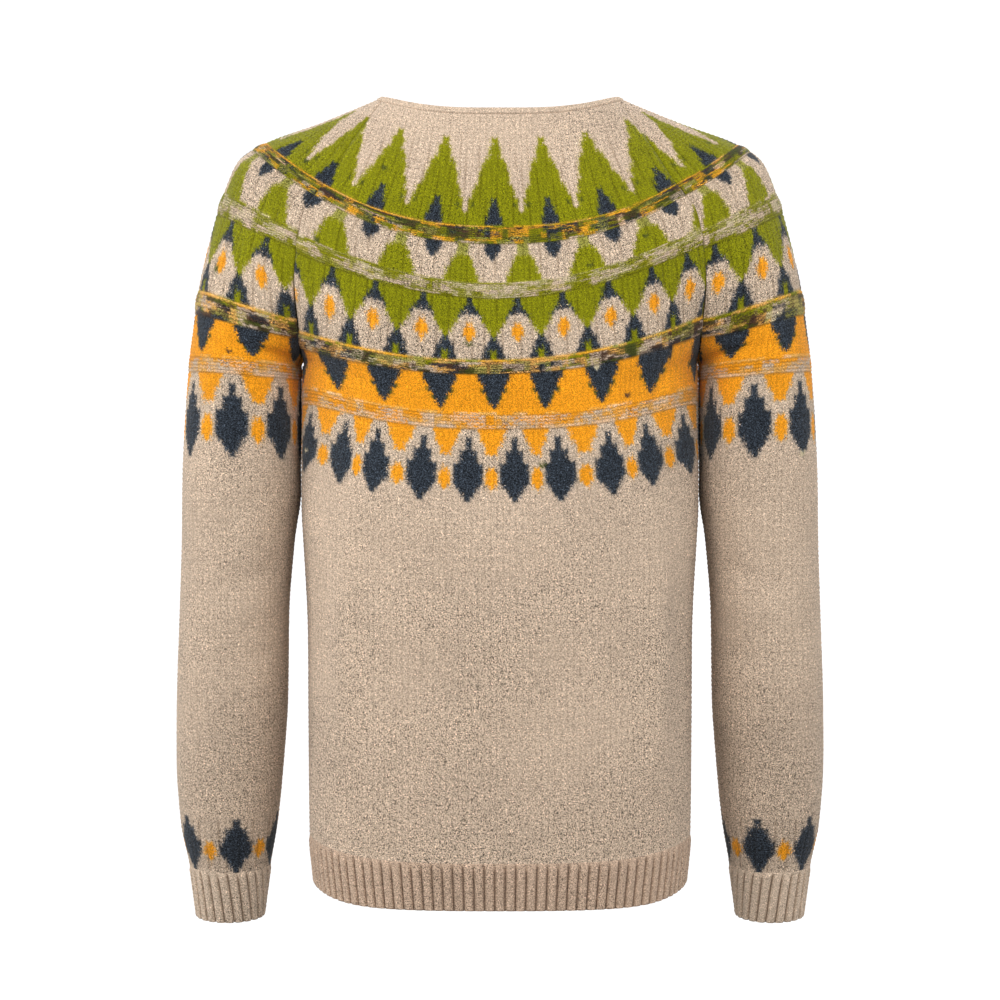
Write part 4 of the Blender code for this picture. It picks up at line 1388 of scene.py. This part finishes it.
def add_garment():
    knit_wool = wool("stranded_wool", 0.75)
    rib_wool = wool("ribbed_wool", 0.42)
    back = Panel(BACK, BACK_OUT, BACK_CREASES)
    back_places = (TREES, CUP_PLACES, DAISY_PLACES, PEAK_PLACES, DIAMOND_PLACES)
    back_belts = panel_belts(back_places, BACK_TILTS)
    add_cloth("knitted_back", "back", back, back_belts, 11, knit_wool)
    front_belts = panel_belts(FRONT_PLACES, FRONT_TILTS)
    hem_belts = one_belt(HEM_V, BODY[-1].v, 10, RIB_PITCH, RIB, spread=RIB_SPREAD, chart=HEM_PLAIN)
    cuff_belts = one_belt(CUFF_V, SLEEVE[-1].v, 12, RIB_PITCH, RIB, spread=RIB_SPREAD)
    for side, mirror in (("left", 1), ("right", -1)):
        front = Panel(FRONT, FRONT_OUT, FRONT_CREASES, limits=(BAND_GAP, None), mirror=mirror)
        add_cloth(f"knitted_front_{side}", f"front_{side}", front, front_belts, 20 + mirror, knit_wool)
        hem = Panel(FRONT, FRONT_OUT, limits=(BAND_GAP, None), mirror=mirror)
        add_cloth(f"ribbed_hem_front_{side}", f"hem_rib_front_{side}", hem, hem_belts, 30 + mirror, rib_wool)
        axes = SLEEVE_LEFT_AXES if mirror > 0 else SLEEVE_RIGHT_AXES
        sleeve = Panel(ARM, SLEEVE_OUT, SLEEVE_CREASES, around=True, mirror=mirror)
        add_cloth(f"knitted_sleeve_{side}", f"sleeve_{side}", sleeve, sleeve_belts(axes), 40 + mirror,
                  knit_wool)
        cuff = Panel(ARM, SLEEVE_OUT, around=True, mirror=mirror)
        add_cloth(f"ribbed_cuff_{side}", f"cuff_{side}", cuff, cuff_belts, 50 + mirror, rib_wool)
    hem = Panel(BACK, BACK_OUT)
    add_cloth("ribbed_hem_back", "hem_rib_back", hem, hem_belts, 60, rib_wool)
    neck = Panel(NECK, BACK_OUT, wall=NECKBAND_WALL)
    belts = one_belt(0.0, NECKBAND_DEPTH, 2, NECK_STITCH, KNIT, NECKBAND_ROLL)
    add_cloth("rolled_neckband", "neckband", neck, belts, 70, rib_wool)
    under = Panel(FRONT, FRONT_OUT, limits=(-BAND_HALF_WIDTH, BAND_HALF_WIDTH))
    limits = (-BAND_HALF_WIDTH - BAND_LAP, BAND_HALF_WIDTH)
    over = Panel(FRONT, FRONT_OUT, limits=limits, lift=OVER_BAND_LIFT)
    courses = round(BODY[-1].v / PLAIN_COURSE)
    belts = one_belt(0.0, BODY[-1].v, courses, BAND_STITCH, PURL)
    add_cloth("button_band_under", "button_band_left", under, belts, 80, rib_wool)
    add_cloth("button_band_over", "button_band_right", over, belts, 81, rib_wool)
    add_buttons(OVER_BAND_LIFT)


add_camera()
add_studio()
add_garment()
